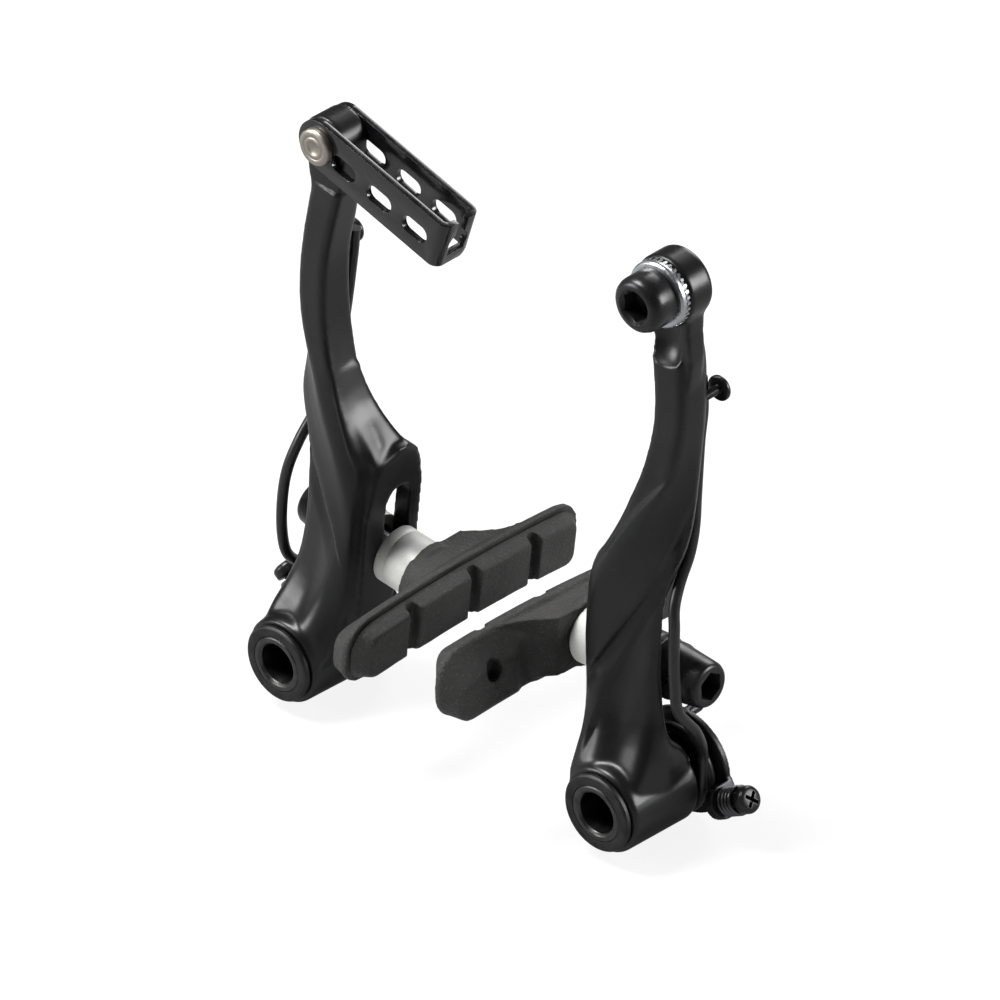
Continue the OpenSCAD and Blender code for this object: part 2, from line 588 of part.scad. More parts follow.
// The link's own frame: x runs from the rivet to its free end, z up
module on_link() {
    on_arm(left) translate(eye) mirror([1, 0, 0]) rotate([0, link_dip, 0]) children();
}
module link_slot(x) {
    for (dx = [-1.4, 1.4]) translate([x + dx, 0, -0.4]) rod_y(1.7, -20, 20, 32);
    translate([x - 1.4, -20, -2.1]) cube([2.8, 40, 3.4]);
}
module cable_link() {
    bend = 2;
    inner = link_w - 2 * sheet;
    reach = link_len - bend;
    color("#18181a") on_link() difference() {
        intersection() {
            translate([0, 0, -link_h / 2]) linear_extrude(link_h) difference() {
                union() {
                    translate([-link_h, -link_w / 2]) square([link_h + reach, link_w]);
                    for (s = [-1, 1]) translate([reach, s * (link_w / 2 - bend)]) circle(r = bend);
                    translate([reach, -link_w / 2 + bend]) square([bend, link_w - 2 * bend]);
                }
                translate([-link_h - 1, -inner / 2]) square([link_h + 1 + reach, inner]);
                for (s = [-1, 1]) translate([reach, s * (link_w / 2 - bend)]) circle(r = bend - sheet);
                translate([reach - 1, -inner / 2 + bend - sheet]) square([1 + bend - sheet, inner - 2 * (bend - sheet)]);
            }
            union() {
                rod_y(link_h / 2, -link_w, link_w);
                translate([0, -link_w, -link_h / 2]) cube([link_len, 2 * link_w, link_h]);
            }
        }
        rod_y(rivet_r + fit, -20, 20);
        for (k = [0:2]) link_slot(6.6 + 9.1 * k);
        translate([reach - 1, 0, -0.3]) rotate([0, 90, 0]) cylinder(r = 2.4, h = 2 * bend);
        translate([reach - 1, -1.2, -0.3]) cube([2 * bend, 2.4, link_h]);
        translate([reach - 1, -2.1, -2.7]) cube([2 * bend, 4.2, 1.5]);
        translate([link_len - 3, link_w / 2, -link_h / 2]) rotate([45, 0, 0]) cube([8, 3.4, 3.4], center = true);
    }
}
module link_rivet() {
    front = link_w / 2;
    color("#b5afa6") on_link() difference() {
        turned([[0, -front - 1.4], [3.2, -front - 1.4], [3.6, -front - 1.1], [3.6, -front - fit],
            [rivet_r, -front - fit], [rivet_r, front + fit], [3.3, front + fit], [3.3, front + 0.7],
            [2.7, front + 1.2], [0, front + 1.2]]);
        translate([0, -front - 1.9, 0]) sphere(r = 0.9);
    }
}

// Cable clamp on the right arm
module cable_bolt() {
    head_h = 5.6;
    y0 = boss_front - clamp_thick - fit;
    color("#1c1c1e") on_arm(right) translate([eye_offset, 0, arm_length]) difference() {
        turned([[0, y0 - head_h], [4.2, y0 - head_h], [4.9, y0 - head_h + 0.5], [5.3, y0 - head_h + 1.6],
            [5.3, y0], [cable_bolt_r, y0], [cable_bolt_r, boss_back + 0.4], [0, boss_back + 0.4]]);
        translate([0, y0 - head_h - 1, 0]) rotate([-90, 0, 0]) cylinder(d = socket_af / cos(30), h = 4.6, $fn = 6);
    }
}
module cable_washer() {
    teeth = 24;
    y1 = boss_front - fit;
    color("#c4c6cc") on_arm(right) translate([eye_offset, 0, arm_length]) difference() {
        turned([[cable_bolt_r + 0.1, y1 - clamp_thick], [6.1, y1 - clamp_thick], [6.5, y1 - clamp_thick + 0.4],
            [6.5, y1], [cable_bolt_r + 0.1, y1]]);
        for (k = [0:teeth - 1]) {
            rotate([0, 360 * k / teeth, 0]) translate([6.6, y1 - 0.6, 0]) rotate([0, 45, 0]) cube([0.7, 1.4, 0.7], center = true);
        }
    }
}

arm_left();
arm_right();
pivot_sleeve(left);  // pivot_sleeve_left
pivot_sleeve(right);  // pivot_sleeve_right
front_collar(left);  // front_collar_left
front_collar(right);  // front_collar_right
spring_plate(left);  // spring_plate_left
spring_plate(right);  // spring_plate_right
return_spring(left);  // return_spring_left
return_spring(right);  // return_spring_right
spring_pin(left);  // spring_pin_left
spring_pin(right);  // spring_pin_right
adjuster_screw(left);  // adjuster_screw_left
adjuster_screw(right);  // adjuster_screw_right
adjuster_spring(left);  // adjuster_spring_left
adjuster_spring(right);  // adjuster_spring_right
dome_washer(left, true);  // inner_dome_washer_left
dome_washer(right, true);  // inner_dome_washer_right
dome_washer(left, false);  // outer_dome_washer_left
dome_washer(right, false);  // outer_dome_washer_right
pad_spacer(left);  // pad_spacer_left
pad_spacer(right);  // pad_spacer_right
cup_washer(left);  // cup_washer_left
cup_washer(right);  // cup_washer_right
flat_washer(left);  // flat_washer_left
flat_washer(right);  // flat_washer_right
pad_nut(left);  // pad_nut_left
pad_nut(right);  // pad_nut_right
pad_stud(left);  // pad_stud_left
pad_stud(right);  // pad_stud_right
brake_pad(left);  // brake_pad_left
brake_pad(right);  // brake_pad_right
cable_link();
link_rivet();
cable_bolt();
cable_washer();
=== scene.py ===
"""Looks of a linear-pull rim brake: forged arms, turned pivots, springs, moulded pads, cable link and clamp.

Every piece is made in its half's own millimetres, with x outward, y back from the front face and z up,
and is then placed in the frame of the packed model, in metres.
"""
import math

import bmesh
import bpy
import numpy as np
from bpy.props import FloatProperty, FloatVectorProperty, PointerProperty
from mathutils import Matrix, Vector


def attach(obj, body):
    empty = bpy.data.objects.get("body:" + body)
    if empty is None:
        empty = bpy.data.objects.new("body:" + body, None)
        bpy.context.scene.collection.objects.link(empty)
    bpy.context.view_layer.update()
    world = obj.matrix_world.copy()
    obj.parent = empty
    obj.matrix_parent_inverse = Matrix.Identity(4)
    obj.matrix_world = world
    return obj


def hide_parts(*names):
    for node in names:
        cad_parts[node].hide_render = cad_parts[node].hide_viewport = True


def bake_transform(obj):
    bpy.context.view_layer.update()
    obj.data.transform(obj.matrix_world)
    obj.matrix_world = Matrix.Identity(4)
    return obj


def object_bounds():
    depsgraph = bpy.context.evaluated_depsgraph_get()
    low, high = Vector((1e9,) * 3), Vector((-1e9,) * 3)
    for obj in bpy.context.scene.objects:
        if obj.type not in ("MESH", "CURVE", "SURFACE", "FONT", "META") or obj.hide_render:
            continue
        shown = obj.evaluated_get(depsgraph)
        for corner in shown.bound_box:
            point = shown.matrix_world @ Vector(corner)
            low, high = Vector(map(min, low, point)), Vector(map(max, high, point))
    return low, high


bl_info = {
    "name": "Rim brake finish",
    "version": (1, 0, 0),
    "blender": (4, 5, 0),
    "location": "3D View > Sidebar > Rim brake",
    "description": "Dresses the packed rim brake with forged, turned, sprung and moulded pieces",
    "category": "Object",
}

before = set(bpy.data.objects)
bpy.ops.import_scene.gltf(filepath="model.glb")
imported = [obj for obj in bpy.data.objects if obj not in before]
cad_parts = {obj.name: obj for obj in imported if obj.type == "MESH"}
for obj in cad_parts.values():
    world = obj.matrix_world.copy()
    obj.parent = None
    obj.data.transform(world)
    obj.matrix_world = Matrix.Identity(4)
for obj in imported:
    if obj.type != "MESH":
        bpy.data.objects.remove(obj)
CAD_BOX = [list(corner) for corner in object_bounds()]

MM = 0.001
SIDES = ("left", "right")

# Sizes of the source, in millimetres
BOSS_SPACING = 80.0
ARM_LENGTH = 106.5
EYE_OFFSET = 10.5
LEFT_LEAN = 9.5
LEFT_PLATE_TURN = 14.0
LINK_DIP = 11.0
PAD_TURN = {"left": 0.0, "right": 4.0}
BORE_R = 4.05
SLEEVE_R = BORE_R + 1.55
SEAT_Y = 25.0
COLLAR_R = 7.7
COLLAR_BACK = 1.2
BARREL_FRONT = COLLAR_BACK + 0.4
BARREL_BACK = BARREL_FRONT + 16.4
PLATE_BACK = SEAT_Y - 0.2
PLATE_FRONT = PLATE_BACK - 1.3
STUD_Y, STUD_Z, STUD_R = 19.2, 22.3, 2.95
SLOT_W = 2 * STUD_R + 0.7
SLOT_UP, SLOT_DOWN = 12.0, 2.0
PLATE_INNER, PLATE_THICK = 9.8, 4.2
PLATE_OUTER = PLATE_INNER - PLATE_THICK
WASHER_R, DOME_RIM, SLACK = 5.75, 2.0, 0.1
DOME_SEAT = PLATE_THICK / 2 + DOME_RIM
BALL_R = math.hypot(DOME_SEAT, WASHER_R)
SPACER_LEN = 5.9
PAD_BOSS_X = PLATE_INNER + DOME_RIM + SLACK + SPACER_LEN
CUP_LEN = 3.3
WASHER_X = -PLATE_OUTER + DOME_RIM + SLACK + CUP_LEN
NUT_X, NUT_LEN, NUT_R = WASHER_X + 1, 10.7, 5.4
PAD_LEN, PAD_HEIGHT, PAD_OFFSET, RIM_R = 62.0, 13.8, 2.0, 300.0
PAD_SEAM = 7.6
HEAD_Y = 15.9
BOSS_FRONT, BOSS_BACK = HEAD_Y - 4.5, HEAD_Y + 1.6
LINK_W = 9.0
RIVET_R, CABLE_BOLT_R, CLAMP_THICK = 2.5, 3.0, 2.0
PIN_X, PIN_Z, PIN_ROOT, PIN_Y, PIN_R = EYE_OFFSET + 0.9, ARM_LENGTH - 24.7, HEAD_Y - 1, HEAD_Y + 7.8, 0.9
SEAT_GAP = 0.07
WIRE_R, COIL_R = 1.05, 7.9
COIL_FRONT = BARREL_BACK + WIRE_R + 0.85
COIL_BACK = PLATE_FRONT - WIRE_R - 0.15
HOOK_X, HOOK_Y = PIN_X - PIN_R - WIRE_R - 0.25, PIN_Y - 0.7 - WIRE_R
SCREW_TILT, LUG_THICK, SCREW_R, SMALL_WIRE_R = 26.0, 2.0, 1.5, 0.42
LUG = (11.4, (COIL_FRONT + COIL_BACK) / 2, -3.2)
SMALL_COIL_R, SMALL_TURNS, SMALL_SPRING_LEN = SCREW_R + SMALL_WIRE_R + 0.5, 4.5, 5.1

# Fineness of curves: turned rings, the coil's turn in degrees, and the steps of coil, leg and small coil
AROUND = 96
COIL_TURN, COIL_STEPS, LEG_STEPS, SMALL_STEPS = 394, 144, 150, 180

# Rounding of pressed, forged and moulded edges: grid in millimetres and rounds of smoothing
ARM_ROUNDS, PAD_ROUNDS, PLATE_ROUNDS, PLATE_GRID = 3, 2, 3, 0.24
EASE_ROUNDS, EASE_EDGE, EASE_LEVELS = 30, 3, 10

# Details that the solids leave out, in millimetres
NUT_SOCKET, CABLE_SOCKET = 5, 5.2
GRIP_R, GRIP_DEPTH, GRIP_THICK = 5, 3.2, 1.4
SEAM_HALF_WIDTH, SEAM_DEPTH, SEAM_REACH = 0.17, 1.35, -1
TEETH, TEETH_R, TOOTH = 36, 6.05, (0.7, 0.5, 0.7)
CROSS_LONG, CROSS_WIDE, CROSS_DEEP = 1.6, 0.35, 1.1

# Camera: angles in degrees, distance in metres, and the lens and the frame's middle in pixels of the photograph
AZIMUTH, ELEVATION, ROLL, AWAY = 44.9, 32.2, -2.9, 1.637
CAMERA_TARGET = Vector((0, -0.025, 0))
FRAME_PX, FOCAL_PX, OFF_RIGHT_PX, OFF_UP_PX = 1000, 8987.0, 66.95, 238.5

# Light: each lamp's name, place, width in metres and power in watts
LAMPS = [("key", (-0.3, -0.25, 0.75), 0.34, 12.0), ("front", (-0.72, -0.8, 0.34), 0.36, 8.0),
         ("side", (0.9, 0.62, 0.34), 0.42, 12.0), ("rim", (-0.2, 0.7, 0.5), 0.4, 4.0)]
LAMP_TARGET = (0, -0.005, 0.05)
WORLD_STRENGTH, FLOOR_GLOW, FLOOR_IN_GLOSS, FLOOR_REACH, FLOOR_DROP = 0.08, 0.85, 0.3, 4, 0.0002


# ---- Places ----

def turn(degrees, axis):
    return Matrix.Rotation(math.radians(degrees), 4, axis)


def half(side):
    """From a half's own millimetres to the frame of the packed model."""
    sign = -1 if side == "left" else 1
    place = Matrix.Diagonal((sign * MM, MM, MM, 1))
    place.translation = (sign * BOSS_SPACING / 2 * MM, -SEAT_Y * MM, 0)
    return place


def on_arm(side):
    return half(side) @ turn(-LEFT_LEAN if side == "left" else 0, "Y")


def on_plate(side):
    return half(side) @ turn(-LEFT_PLATE_TURN if side == "left" else 0, "Y")


def on_eye(side):
    return on_arm(side) @ Matrix.Translation((EYE_OFFSET, 0, ARM_LENGTH))


def on_stud(side):
    """Along the pad bolt: z runs outward, away from the wheel."""
    return on_arm(side) @ Matrix.Translation((0, STUD_Y, STUD_Z)) @ turn(90, "Y")


def on_screw(side):
    return on_plate(side) @ Matrix.Translation(LUG) @ turn(90 - SCREW_TILT, "Y")


def on_pad(side):
    sign = -1 if side == "right" else 1
    return (on_arm(side) @ Matrix.Translation((-PAD_BOSS_X, STUD_Y, STUD_Z)) @ turn(-PAD_TURN[side], "X")
            @ Matrix.Diagonal((1, sign, 1, 1)))


def on_link():
    mirror = Matrix.Diagonal((-1, 1, 1, 1))
    return on_arm("left") @ Matrix.Translation((EYE_OFFSET, HEAD_Y, ARM_LENGTH)) @ mirror @ turn(LINK_DIP, "Y")


ALONG_Y = turn(-90, "X")


# ---- Meshes ----

def object_of(name, mesh):
    thing = bpy.data.objects.new(name, mesh)
    bpy.context.scene.collection.objects.link(thing)
    return thing


def mesh_of(name, points, faces, place=None, edges=()):
    """Object from points in a local frame, with its faces turned outward."""
    mesh = bpy.data.meshes.new(name)
    place = place or Matrix.Identity(4)
    mesh.from_pydata([place @ Vector(p) for p in points], list(edges), faces)
    if faces:
        work = bmesh.new()
        work.from_mesh(mesh)
        bmesh.ops.recalc_face_normals(work, faces=work.faces)
        work.to_mesh(mesh)
        work.free()
    return object_of(name, mesh)


def circle(radius, count):
    angles = [2 * math.pi * k / count for k in range(count)]
    return [(radius * math.cos(angle), radius * math.sin(angle)) for angle in angles]


def lathe(name, profile, place, closed=False, around=AROUND):
    """Solid of revolution about z, from [radius, height] points."""
    points, rings = [], []
    for radius, height in profile:
        if radius < 1e-6:
            rings.append([len(points)])
            points.append((0, 0, height))
            continue
        rings.append(list(range(len(points), len(points) + around)))
        points += [(x, y, height) for x, y in circle(radius, around)]
    faces = []
    for low, high in list(zip(rings, rings[1:])) + ([(rings[-1], rings[0])] if closed else []):
        for k in range(around):
            nxt = (k + 1) % around
            corners = (low[k % len(low)], low[nxt % len(low)], high[nxt % len(high)], high[k % len(high)])
            face = tuple(dict.fromkeys(corners))
            if len(face) > 2:
                faces.append(face)
    return mesh_of(name, points, faces, place)


def lifted(profile, height):
    """Profile whose heights count from a given one."""
    return [[radius, z + height] for radius, z in profile]


def prism(name, outline, z0, z1, place):
    """Straight solid over a flat outline."""
    n = len(outline)
    points = [(x, y, z) for z in (z0, z1) for x, y in outline]
    faces = [tuple(range(n))[::-1], tuple(range(n, 2 * n))]
    faces += [(k, (k + 1) % n, n + (k + 1) % n, n + k) for k in range(n)]
    return mesh_of(name, points, faces, place)


def hexagon(across_flats):
    return circle(across_flats / 2 / math.cos(math.pi / 6), 6)


def rod(name, radius, z0, z1, place, around=64):
    return prism(name, circle(radius, around), z0, z1, place)


def settle(thing):
    """Turns an object's modifiers into plain mesh."""
    evaluated = thing.evaluated_get(bpy.context.evaluated_depsgraph_get())
    mesh = bpy.data.meshes.new_from_object(evaluated)
    thing.modifiers.clear()
    old = thing.data
    thing.data = mesh
    bpy.data.meshes.remove(old)
    if not mesh.polygons:
        raise RuntimeError(f"{thing.name} came out empty")
    return thing


def discard(things):
    for thing in things:
        mesh = thing.data
        bpy.data.objects.remove(thing)
        bpy.data.meshes.remove(mesh)


def cut(thing, cutters):
    """Takes the cutters out of an object."""
    for cutter in cutters:
        step = thing.modifiers.new("cut", "BOOLEAN")
        step.operation = "DIFFERENCE"
        step.solver = "EXACT"
        step.object = cutter
    settle(thing)
    discard(cutters)
    return thing


def bevelled(thing, width, segments=2, limit=28):
    """Breaks an object's sharp edges by a width in millimetres."""
    step = thing.modifiers.new("bevel", "BEVEL")
    step.width = width * MM
    step.segments = segments
    step.limit_method = "ANGLE"
    step.angle_limit = math.radians(limit)
    step.use_clamp_overlap = True
    return settle(thing)


def joined(name, things):
    """One object from several."""
    work = bmesh.new()
    for thing in things:
        work.from_mesh(thing.data)
    mesh = bpy.data.meshes.new(name)
    work.to_mesh(mesh)
    work.free()
    discard(things)
    return object_of(name, mesh)


def softened(node, name, voxel, rounds, added=()):
    """Copy of a solid with its edges rounded, as a forging or moulding has them, and what is added to it."""
    thing = object_of(name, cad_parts[node].data.copy())
    if added:
        thing = joined(name, [thing, *added])
    step = thing.modifiers.new("remesh", "REMESH")
    step.mode = "VOXEL"
    step.voxel_size = voxel * MM * 1
    step = thing.modifiers.new("smooth", "SMOOTH")
    step.factor = 0.5
    step.iterations = rounds // 1 + 1
    return settle(thing)


def carried(points, place):
    """Points, one a row, taken through a place."""
    place = np.array(place)
    return points @ place[:3, :3].T + place[:3, 3]


def rows_of(collection, attribute):
    """Vectors of a mesh, one a row."""
    values = np.empty(3 * len(collection))
    collection.foreach_get(attribute, values)
    return values.reshape(-1, 3)


def eased(thing, place, boxes):
    """Smooths a mesh further inside boxes given in a local frame, fading out towards their sides."""
    own = carried(rows_of(thing.data.vertices, "co"), place.inverted())
    weight = np.zeros(len(own))
    for low, high in boxes:
        inside = np.minimum(own - np.array(low), np.array(high) - own).min(axis=1)
        weight = np.maximum(weight, np.clip(inside / EASE_EDGE, 0, 1))
    group = thing.vertex_groups.new(name="eased")
    for level in range(1, EASE_LEVELS + 1):
        chosen = np.where(np.ceil(weight * EASE_LEVELS) == level)[0]
        group.add(chosen.tolist(), level / EASE_LEVELS, "REPLACE")
    step = thing.modifiers.new("ease", "SMOOTH")
    step.vertex_group = "eased"
    step.iterations = EASE_ROUNDS
    settle(thing)
    thing.vertex_groups.clear()
    return thing


def sharp_copy(node, name):
    """Copy of a solid with its flat faces whole, ready for its edges to be broken."""
    thing = object_of(name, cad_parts[node].data.copy())
    work = bmesh.new()
    work.from_mesh(thing.data)
    bmesh.ops.remove_doubles(work, verts=work.verts, dist=0.002 * MM)
    bmesh.ops.dissolve_limit(work, angle_limit=math.radians(1), verts=work.verts, edges=work.edges)
    work.to_mesh(thing.data)
    work.free()
    return thing


def finish(thing, body, nodes, material, sharp=32):
    """Gives a piece its material, the nodes it stands for and the body it rides on, if it doesn't bend."""
    mesh = thing.data
    mesh.materials.clear()
    mesh.materials.append(bpy.data.materials[material])
    for face in mesh.polygons:
        face.material_index = 0
        face.use_smooth = True
    if sharp:
        mesh.set_sharp_from_angle(angle=math.radians(sharp))
    if body:
        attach(thing, body)
    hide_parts(*nodes)
    return thing


# ---- Nodes, and the repeating and swept forms ----

class Value:
    """A socket that takes part in sums."""

    def __init__(self, net, socket):
        self.net, self.socket = net, socket

    def sum(self, kind, *terms):
        return self.net.node("ShaderNodeMath", dict(enumerate(terms)), operation=kind)

    def __add__(self, other):
        return self.sum("ADD", self, other)

    def __sub__(self, other):
        return self.sum("SUBTRACT", self, other)

    def __rsub__(self, other):
        return self.sum("SUBTRACT", other, self)

    def __mul__(self, other):
        return self.sum("MULTIPLY", self, other)

    def sine(self):
        return self.sum("SINE", self)

    def spread(self, low, high, to_low=0.0, to_high=1.0):
        """Stretches a range of values to another, held at its ends."""
        return self.net.node("ShaderNodeMapRange", {"Value": self, "From Min": low, "From Max": high,
                                                    "To Min": to_low, "To Max": to_high})

    __radd__ = __add__
    __rmul__ = __mul__


class Net:
    """The nodes of one tree, all made by one method."""

    def node(self, kind, inputs=None, out=0, **settings):
        made = self.tree.nodes.new(kind)
        for key, value in settings.items():
            setattr(made, key, value)
        for key, value in (inputs or {}).items():
            self.feed(made.inputs[key], value)
        return Value(self, made.outputs[out])

    def feed(self, socket, value):
        if isinstance(value, Value):
            self.tree.links.new(value.socket, socket)
        else:
            socket.default_value = value


class Tree(Net):
    """A geometry node tree with named inputs."""

    def __init__(self, name, inputs):
        self.tree = bpy.data.node_groups.new(name, "GeometryNodeTree")
        face = self.tree.interface
        face.new_socket("Geometry", in_out="INPUT", socket_type="NodeSocketGeometry")
        for label, kind, value in [*inputs, ("Material", "Material", None)]:
            socket = face.new_socket(label, in_out="INPUT", socket_type="NodeSocket" + kind)
            if value is not None:
                socket.default_value = value
        face.new_socket("Geometry", in_out="OUTPUT", socket_type="NodeSocketGeometry")
        self.start = self.tree.nodes.new("NodeGroupInput")

    def given(self, label):
        return Value(self, self.start.outputs[label])

    def swept(self, path, ring):
        sweep = {"Curve": path, "Profile Curve": ring, "Fill Caps": True}
        self.finish(self.node("GeometryNodeCurveToMesh", sweep))

    def finish(self, geometry):
        real = self.node("GeometryNodeRealizeInstances", {"Geometry": geometry})
        painted = self.node("GeometryNodeSetMaterial", {"Geometry": real, "Material": self.given("Material")})
        self.feed(self.tree.nodes.new("NodeGroupOutput").inputs["Geometry"], painted)


def wire_tree():
    """Round wire along a path of edges."""
    net = Tree("Wire along a path", [("Radius", "Float", WIRE_R * MM), ("Sides", "Int", 20)])
    path = net.node("GeometryNodeMeshToCurve", {"Mesh": net.given("Geometry")})
    net.swept(path, net.node("GeometryNodeCurvePrimitiveCircle", {"Resolution": net.given("Sides"),
                                                                  "Radius": net.given("Radius")}))


def thread_tree():
    """Screw thread: a ridge wound round z."""
    net = Tree("Screw thread", [("Radius", "Float", 0.0015), ("Length", "Float", 0.005),
                                ("Turns", "Float", 10.0), ("Depth", "Float", 0.0002)])
    radius = net.given("Radius")
    line = net.node("GeometryNodeCurveSpiral", {"Resolution": 24, "Rotations": net.given("Turns"),
                                                "Start Radius": radius, "End Radius": radius,
                                                "Height": net.given("Length")})
    upright = net.node("GeometryNodeSetCurveNormal", {"Curve": line}, mode="Z_UP")
    ridge = net.node("GeometryNodeCurvePrimitiveCircle", {"Resolution": 4, "Radius": net.given("Depth")})
    net.swept(upright, ridge)


def teeth_tree():
    """Small blocks all round a ring about z, as on a clamping washer's rim."""
    net = Tree("Teeth round a ring", [("Radius", "Float", 0.0064), ("Count", "Int", 40),
                                      ("Size", "Vector", (0.0005, 0.0005, 0.0012))])
    ring = net.node("GeometryNodeMeshCircle", {"Vertices": net.given("Count"), "Radius": net.given("Radius")})
    block = net.node("GeometryNodeMeshCube", {"Size": net.given("Size")})
    place = net.node("GeometryNodeInputPosition")
    facing = net.node("FunctionNodeAlignRotationToVector", {"Vector": place}, axis="X", pivot_axis="Z")
    net.finish(net.node("GeometryNodeInstanceOnPoints", {"Points": ring, "Instance": block, "Rotation": facing}))


def grown(name, tree, material, inputs, base=None):
    """Plain mesh of a node tree on a base object; inputs are set by their sockets' identifiers."""
    base = base or object_of(name, bpy.data.meshes.new(name))
    step = base.modifiers.new("tree", "NODES")
    step.node_group = bpy.data.node_groups[tree]
    inputs = {**inputs, "Material": bpy.data.materials[material]}
    for item in step.node_group.interface.items_tree:
        if item.item_type == "SOCKET" and item.in_out == "INPUT" and item.name in inputs:
            step[item.identifier] = inputs[item.name]
    return settle(base)


def moved(thing, place):
    """Moves a mesh made in a local frame to its place."""
    thing.data.transform(place)
    if place.determinant() < 0:
        thing.data.flip_normals()
    return thing


def wire(name, path, radius, place, material, sides=20):
    base = mesh_of(name, path, [], place, [(k, k + 1) for k in range(len(path) - 1)])
    inputs = {"Radius": radius * MM, "Sides": sides}
    return grown(name, "Wire along a path", material, inputs, base)


def thread(name, radius, z0, z1, pitch, depth, place, material):
    length = z1 - z0
    made = grown(name, "Screw thread", material, {"Radius": float(radius), "Length": float(length),
                                                  "Turns": float(length / pitch), "Depth": float(depth)})
    return moved(made, place @ Matrix.Translation((0, 0, z0)))


# ---- Materials ----

class Shading(Net):
    """The shader nodes of a material or of the world."""

    def __init__(self, owner, output):
        owner.use_nodes = True
        self.tree = owner.node_tree
        self.tree.nodes.clear()
        self.output = self.tree.nodes.new(output)

    def surface(self, shader):
        self.feed(self.output.inputs["Surface"], shader)

    def ray(self, kind):
        return self.node("ShaderNodeLightPath", out=f"Is {kind} Ray")

    def either(self, share, first, second):
        """Shader between two, by a share."""
        return self.node("ShaderNodeMixShader", {0: share, 1: first, 2: second})


def shade(colour, share):
    return tuple(share * c for c in colour)


class Finish(Shading):
    """A piece's material: one principled shader and what varies over its surface."""

    def __init__(self, name, **constants):
        self.material = bpy.data.materials.new(name)
        super().__init__(self.material, "ShaderNodeOutputMaterial")
        self.shader = self.tree.nodes.new("ShaderNodeBsdfPrincipled")
        self.surface(Value(self, self.shader.outputs[0]))
        for label, value in constants.items():
            self.shader.inputs[label.replace("_", " ")].default_value = value
        self.place = self.node("ShaderNodeTexCoord", out="Object")

    def noise(self, size, detail=3.0, rough=0.5, place=None):
        """Noise whose grains are about size millimetres across."""
        return self.node("ShaderNodeTexNoise", {"Vector": place or self.place, "Scale": 1 / (size * MM),
                                                "Detail": detail, "Roughness": rough})

    def cells(self, size):
        inputs = {"Vector": self.place, "Scale": 1 / (size * MM)}
        return self.node("ShaderNodeTexVoronoi", inputs, out="Distance")

    def vector(self, kind, first, second=None, out=0):
        inputs = {0: first} if second is None else {0: first, 1: second}
        return self.node("ShaderNodeVectorMath", inputs, out=out, operation=kind)

    def mixed(self, share, first, second):
        """Colour between two, by a share; each is a socket or three numbers."""
        first, second = (c if isinstance(c, Value) else (*c, 1) for c in (first, second))
        return self.node("ShaderNodeMix", {0: share, 6: first, 7: second}, out=2, data_type="RGBA")

    def shades(self, value, low, high, base, darker, lighter):
        """Two shades of one colour, mixed by where a value lies in a range."""
        return self.mixed(value.spread(low, high), shade(base, darker), shade(base, lighter))

    def colour(self, value):
        self.feed(self.shader.inputs["Base Color"], value)

    def roughness(self, value, smooth, rough):
        self.feed(self.shader.inputs["Roughness"], value.spread(0.3, 0.7, smooth, rough))

    def relief(self, height, depth, strength=0.5):
        """Bump from a height of 0 to 1, as deep as depth millimetres."""
        normal = self.node("ShaderNodeBump", {"Height": height, "Distance": depth * MM, "Strength": strength})
        self.feed(self.shader.inputs["Normal"], normal)

    def rings(self, centre, axis, pitch):
        """Tool marks of turning, round an axis through a centre in the frame of the packed model."""
        away = self.vector("SUBTRACT", self.place, centre)
        length = self.vector("LENGTH", self.vector("CROSS_PRODUCT", away, axis), out="Value")
        along = self.vector("DOT_PRODUCT", away, axis, out="Value")
        return ((length + along * 0.6) * (2 * math.pi / (pitch * MM))).sine() * 0.5 + 0.5


def arm_paint(name, base):
    """Satin black paint over a forging: a soft orange peel and slightly uneven gloss."""
    net = Finish(name, Metallic=0.0, Specular_IOR_Level=0.32)
    patches = net.noise(9, 4)
    net.colour(net.shades(patches, 0.35, 0.7, base, 0.8, 1.25))
    net.roughness(patches, 0.28, 0.36)
    net.relief(net.noise(0.9, 2) * 0.7 + net.noise(0.25, 2) * 0.3, 0.02)


def moulded_rubber(name, base):
    """Moulded rubber: matt, with a fine grain, pale specks of filler and faint flow marks."""
    net = Finish(name, Specular_IOR_Level=0.28)
    specks = net.cells(0.8).spread(0.0, 0.24, 1.0, 0.0)
    cloud = net.noise(5, 4)
    dull = net.shades(cloud, 0.3, 0.7, base, 0.82, 1.2)
    net.colour(net.mixed(specks * 0.7, dull, shade(base, 4)))
    net.roughness(cloud, 0.5, 0.66)
    net.relief(net.noise(0.5, 4, 0.65) + net.noise(1.6, 2) * 0.5, 0.28, 0.9)


def turned_metal(name, base, rough, pitch, centre):
    """Turned steel: fine rings from the tool and a little variation in its tone."""
    net = Finish(name, Metallic=1.0)
    marks = net.rings(centre, (0, 1, 0), pitch)
    tone = net.noise(2.5, 4)
    net.colour(net.shades(tone, 0.3, 0.7, base, 0.75, 1.2))
    net.roughness(tone, rough - 0.06, rough + 0.08)
    net.relief(marks * 0.6 + net.noise(0.3, 2) * 0.4, 0.008, 0.6)


def coated_metal(name, base, rough, grain, coat=0.0, metallic=0.0):
    """Black coat on steel: even, with a fine grain and thinner patches."""
    net = Finish(name, Metallic=metallic, Coat_Weight=coat, Coat_Roughness=0.1, Specular_IOR_Level=0.45)
    patches = net.noise(3, 4)
    net.colour(net.shades(patches, 0.35, 0.75, base, 0.8, 1.4))
    net.roughness(patches, rough - 0.05, rough + 0.08)
    net.relief(net.noise(grain, 2), 0.012)


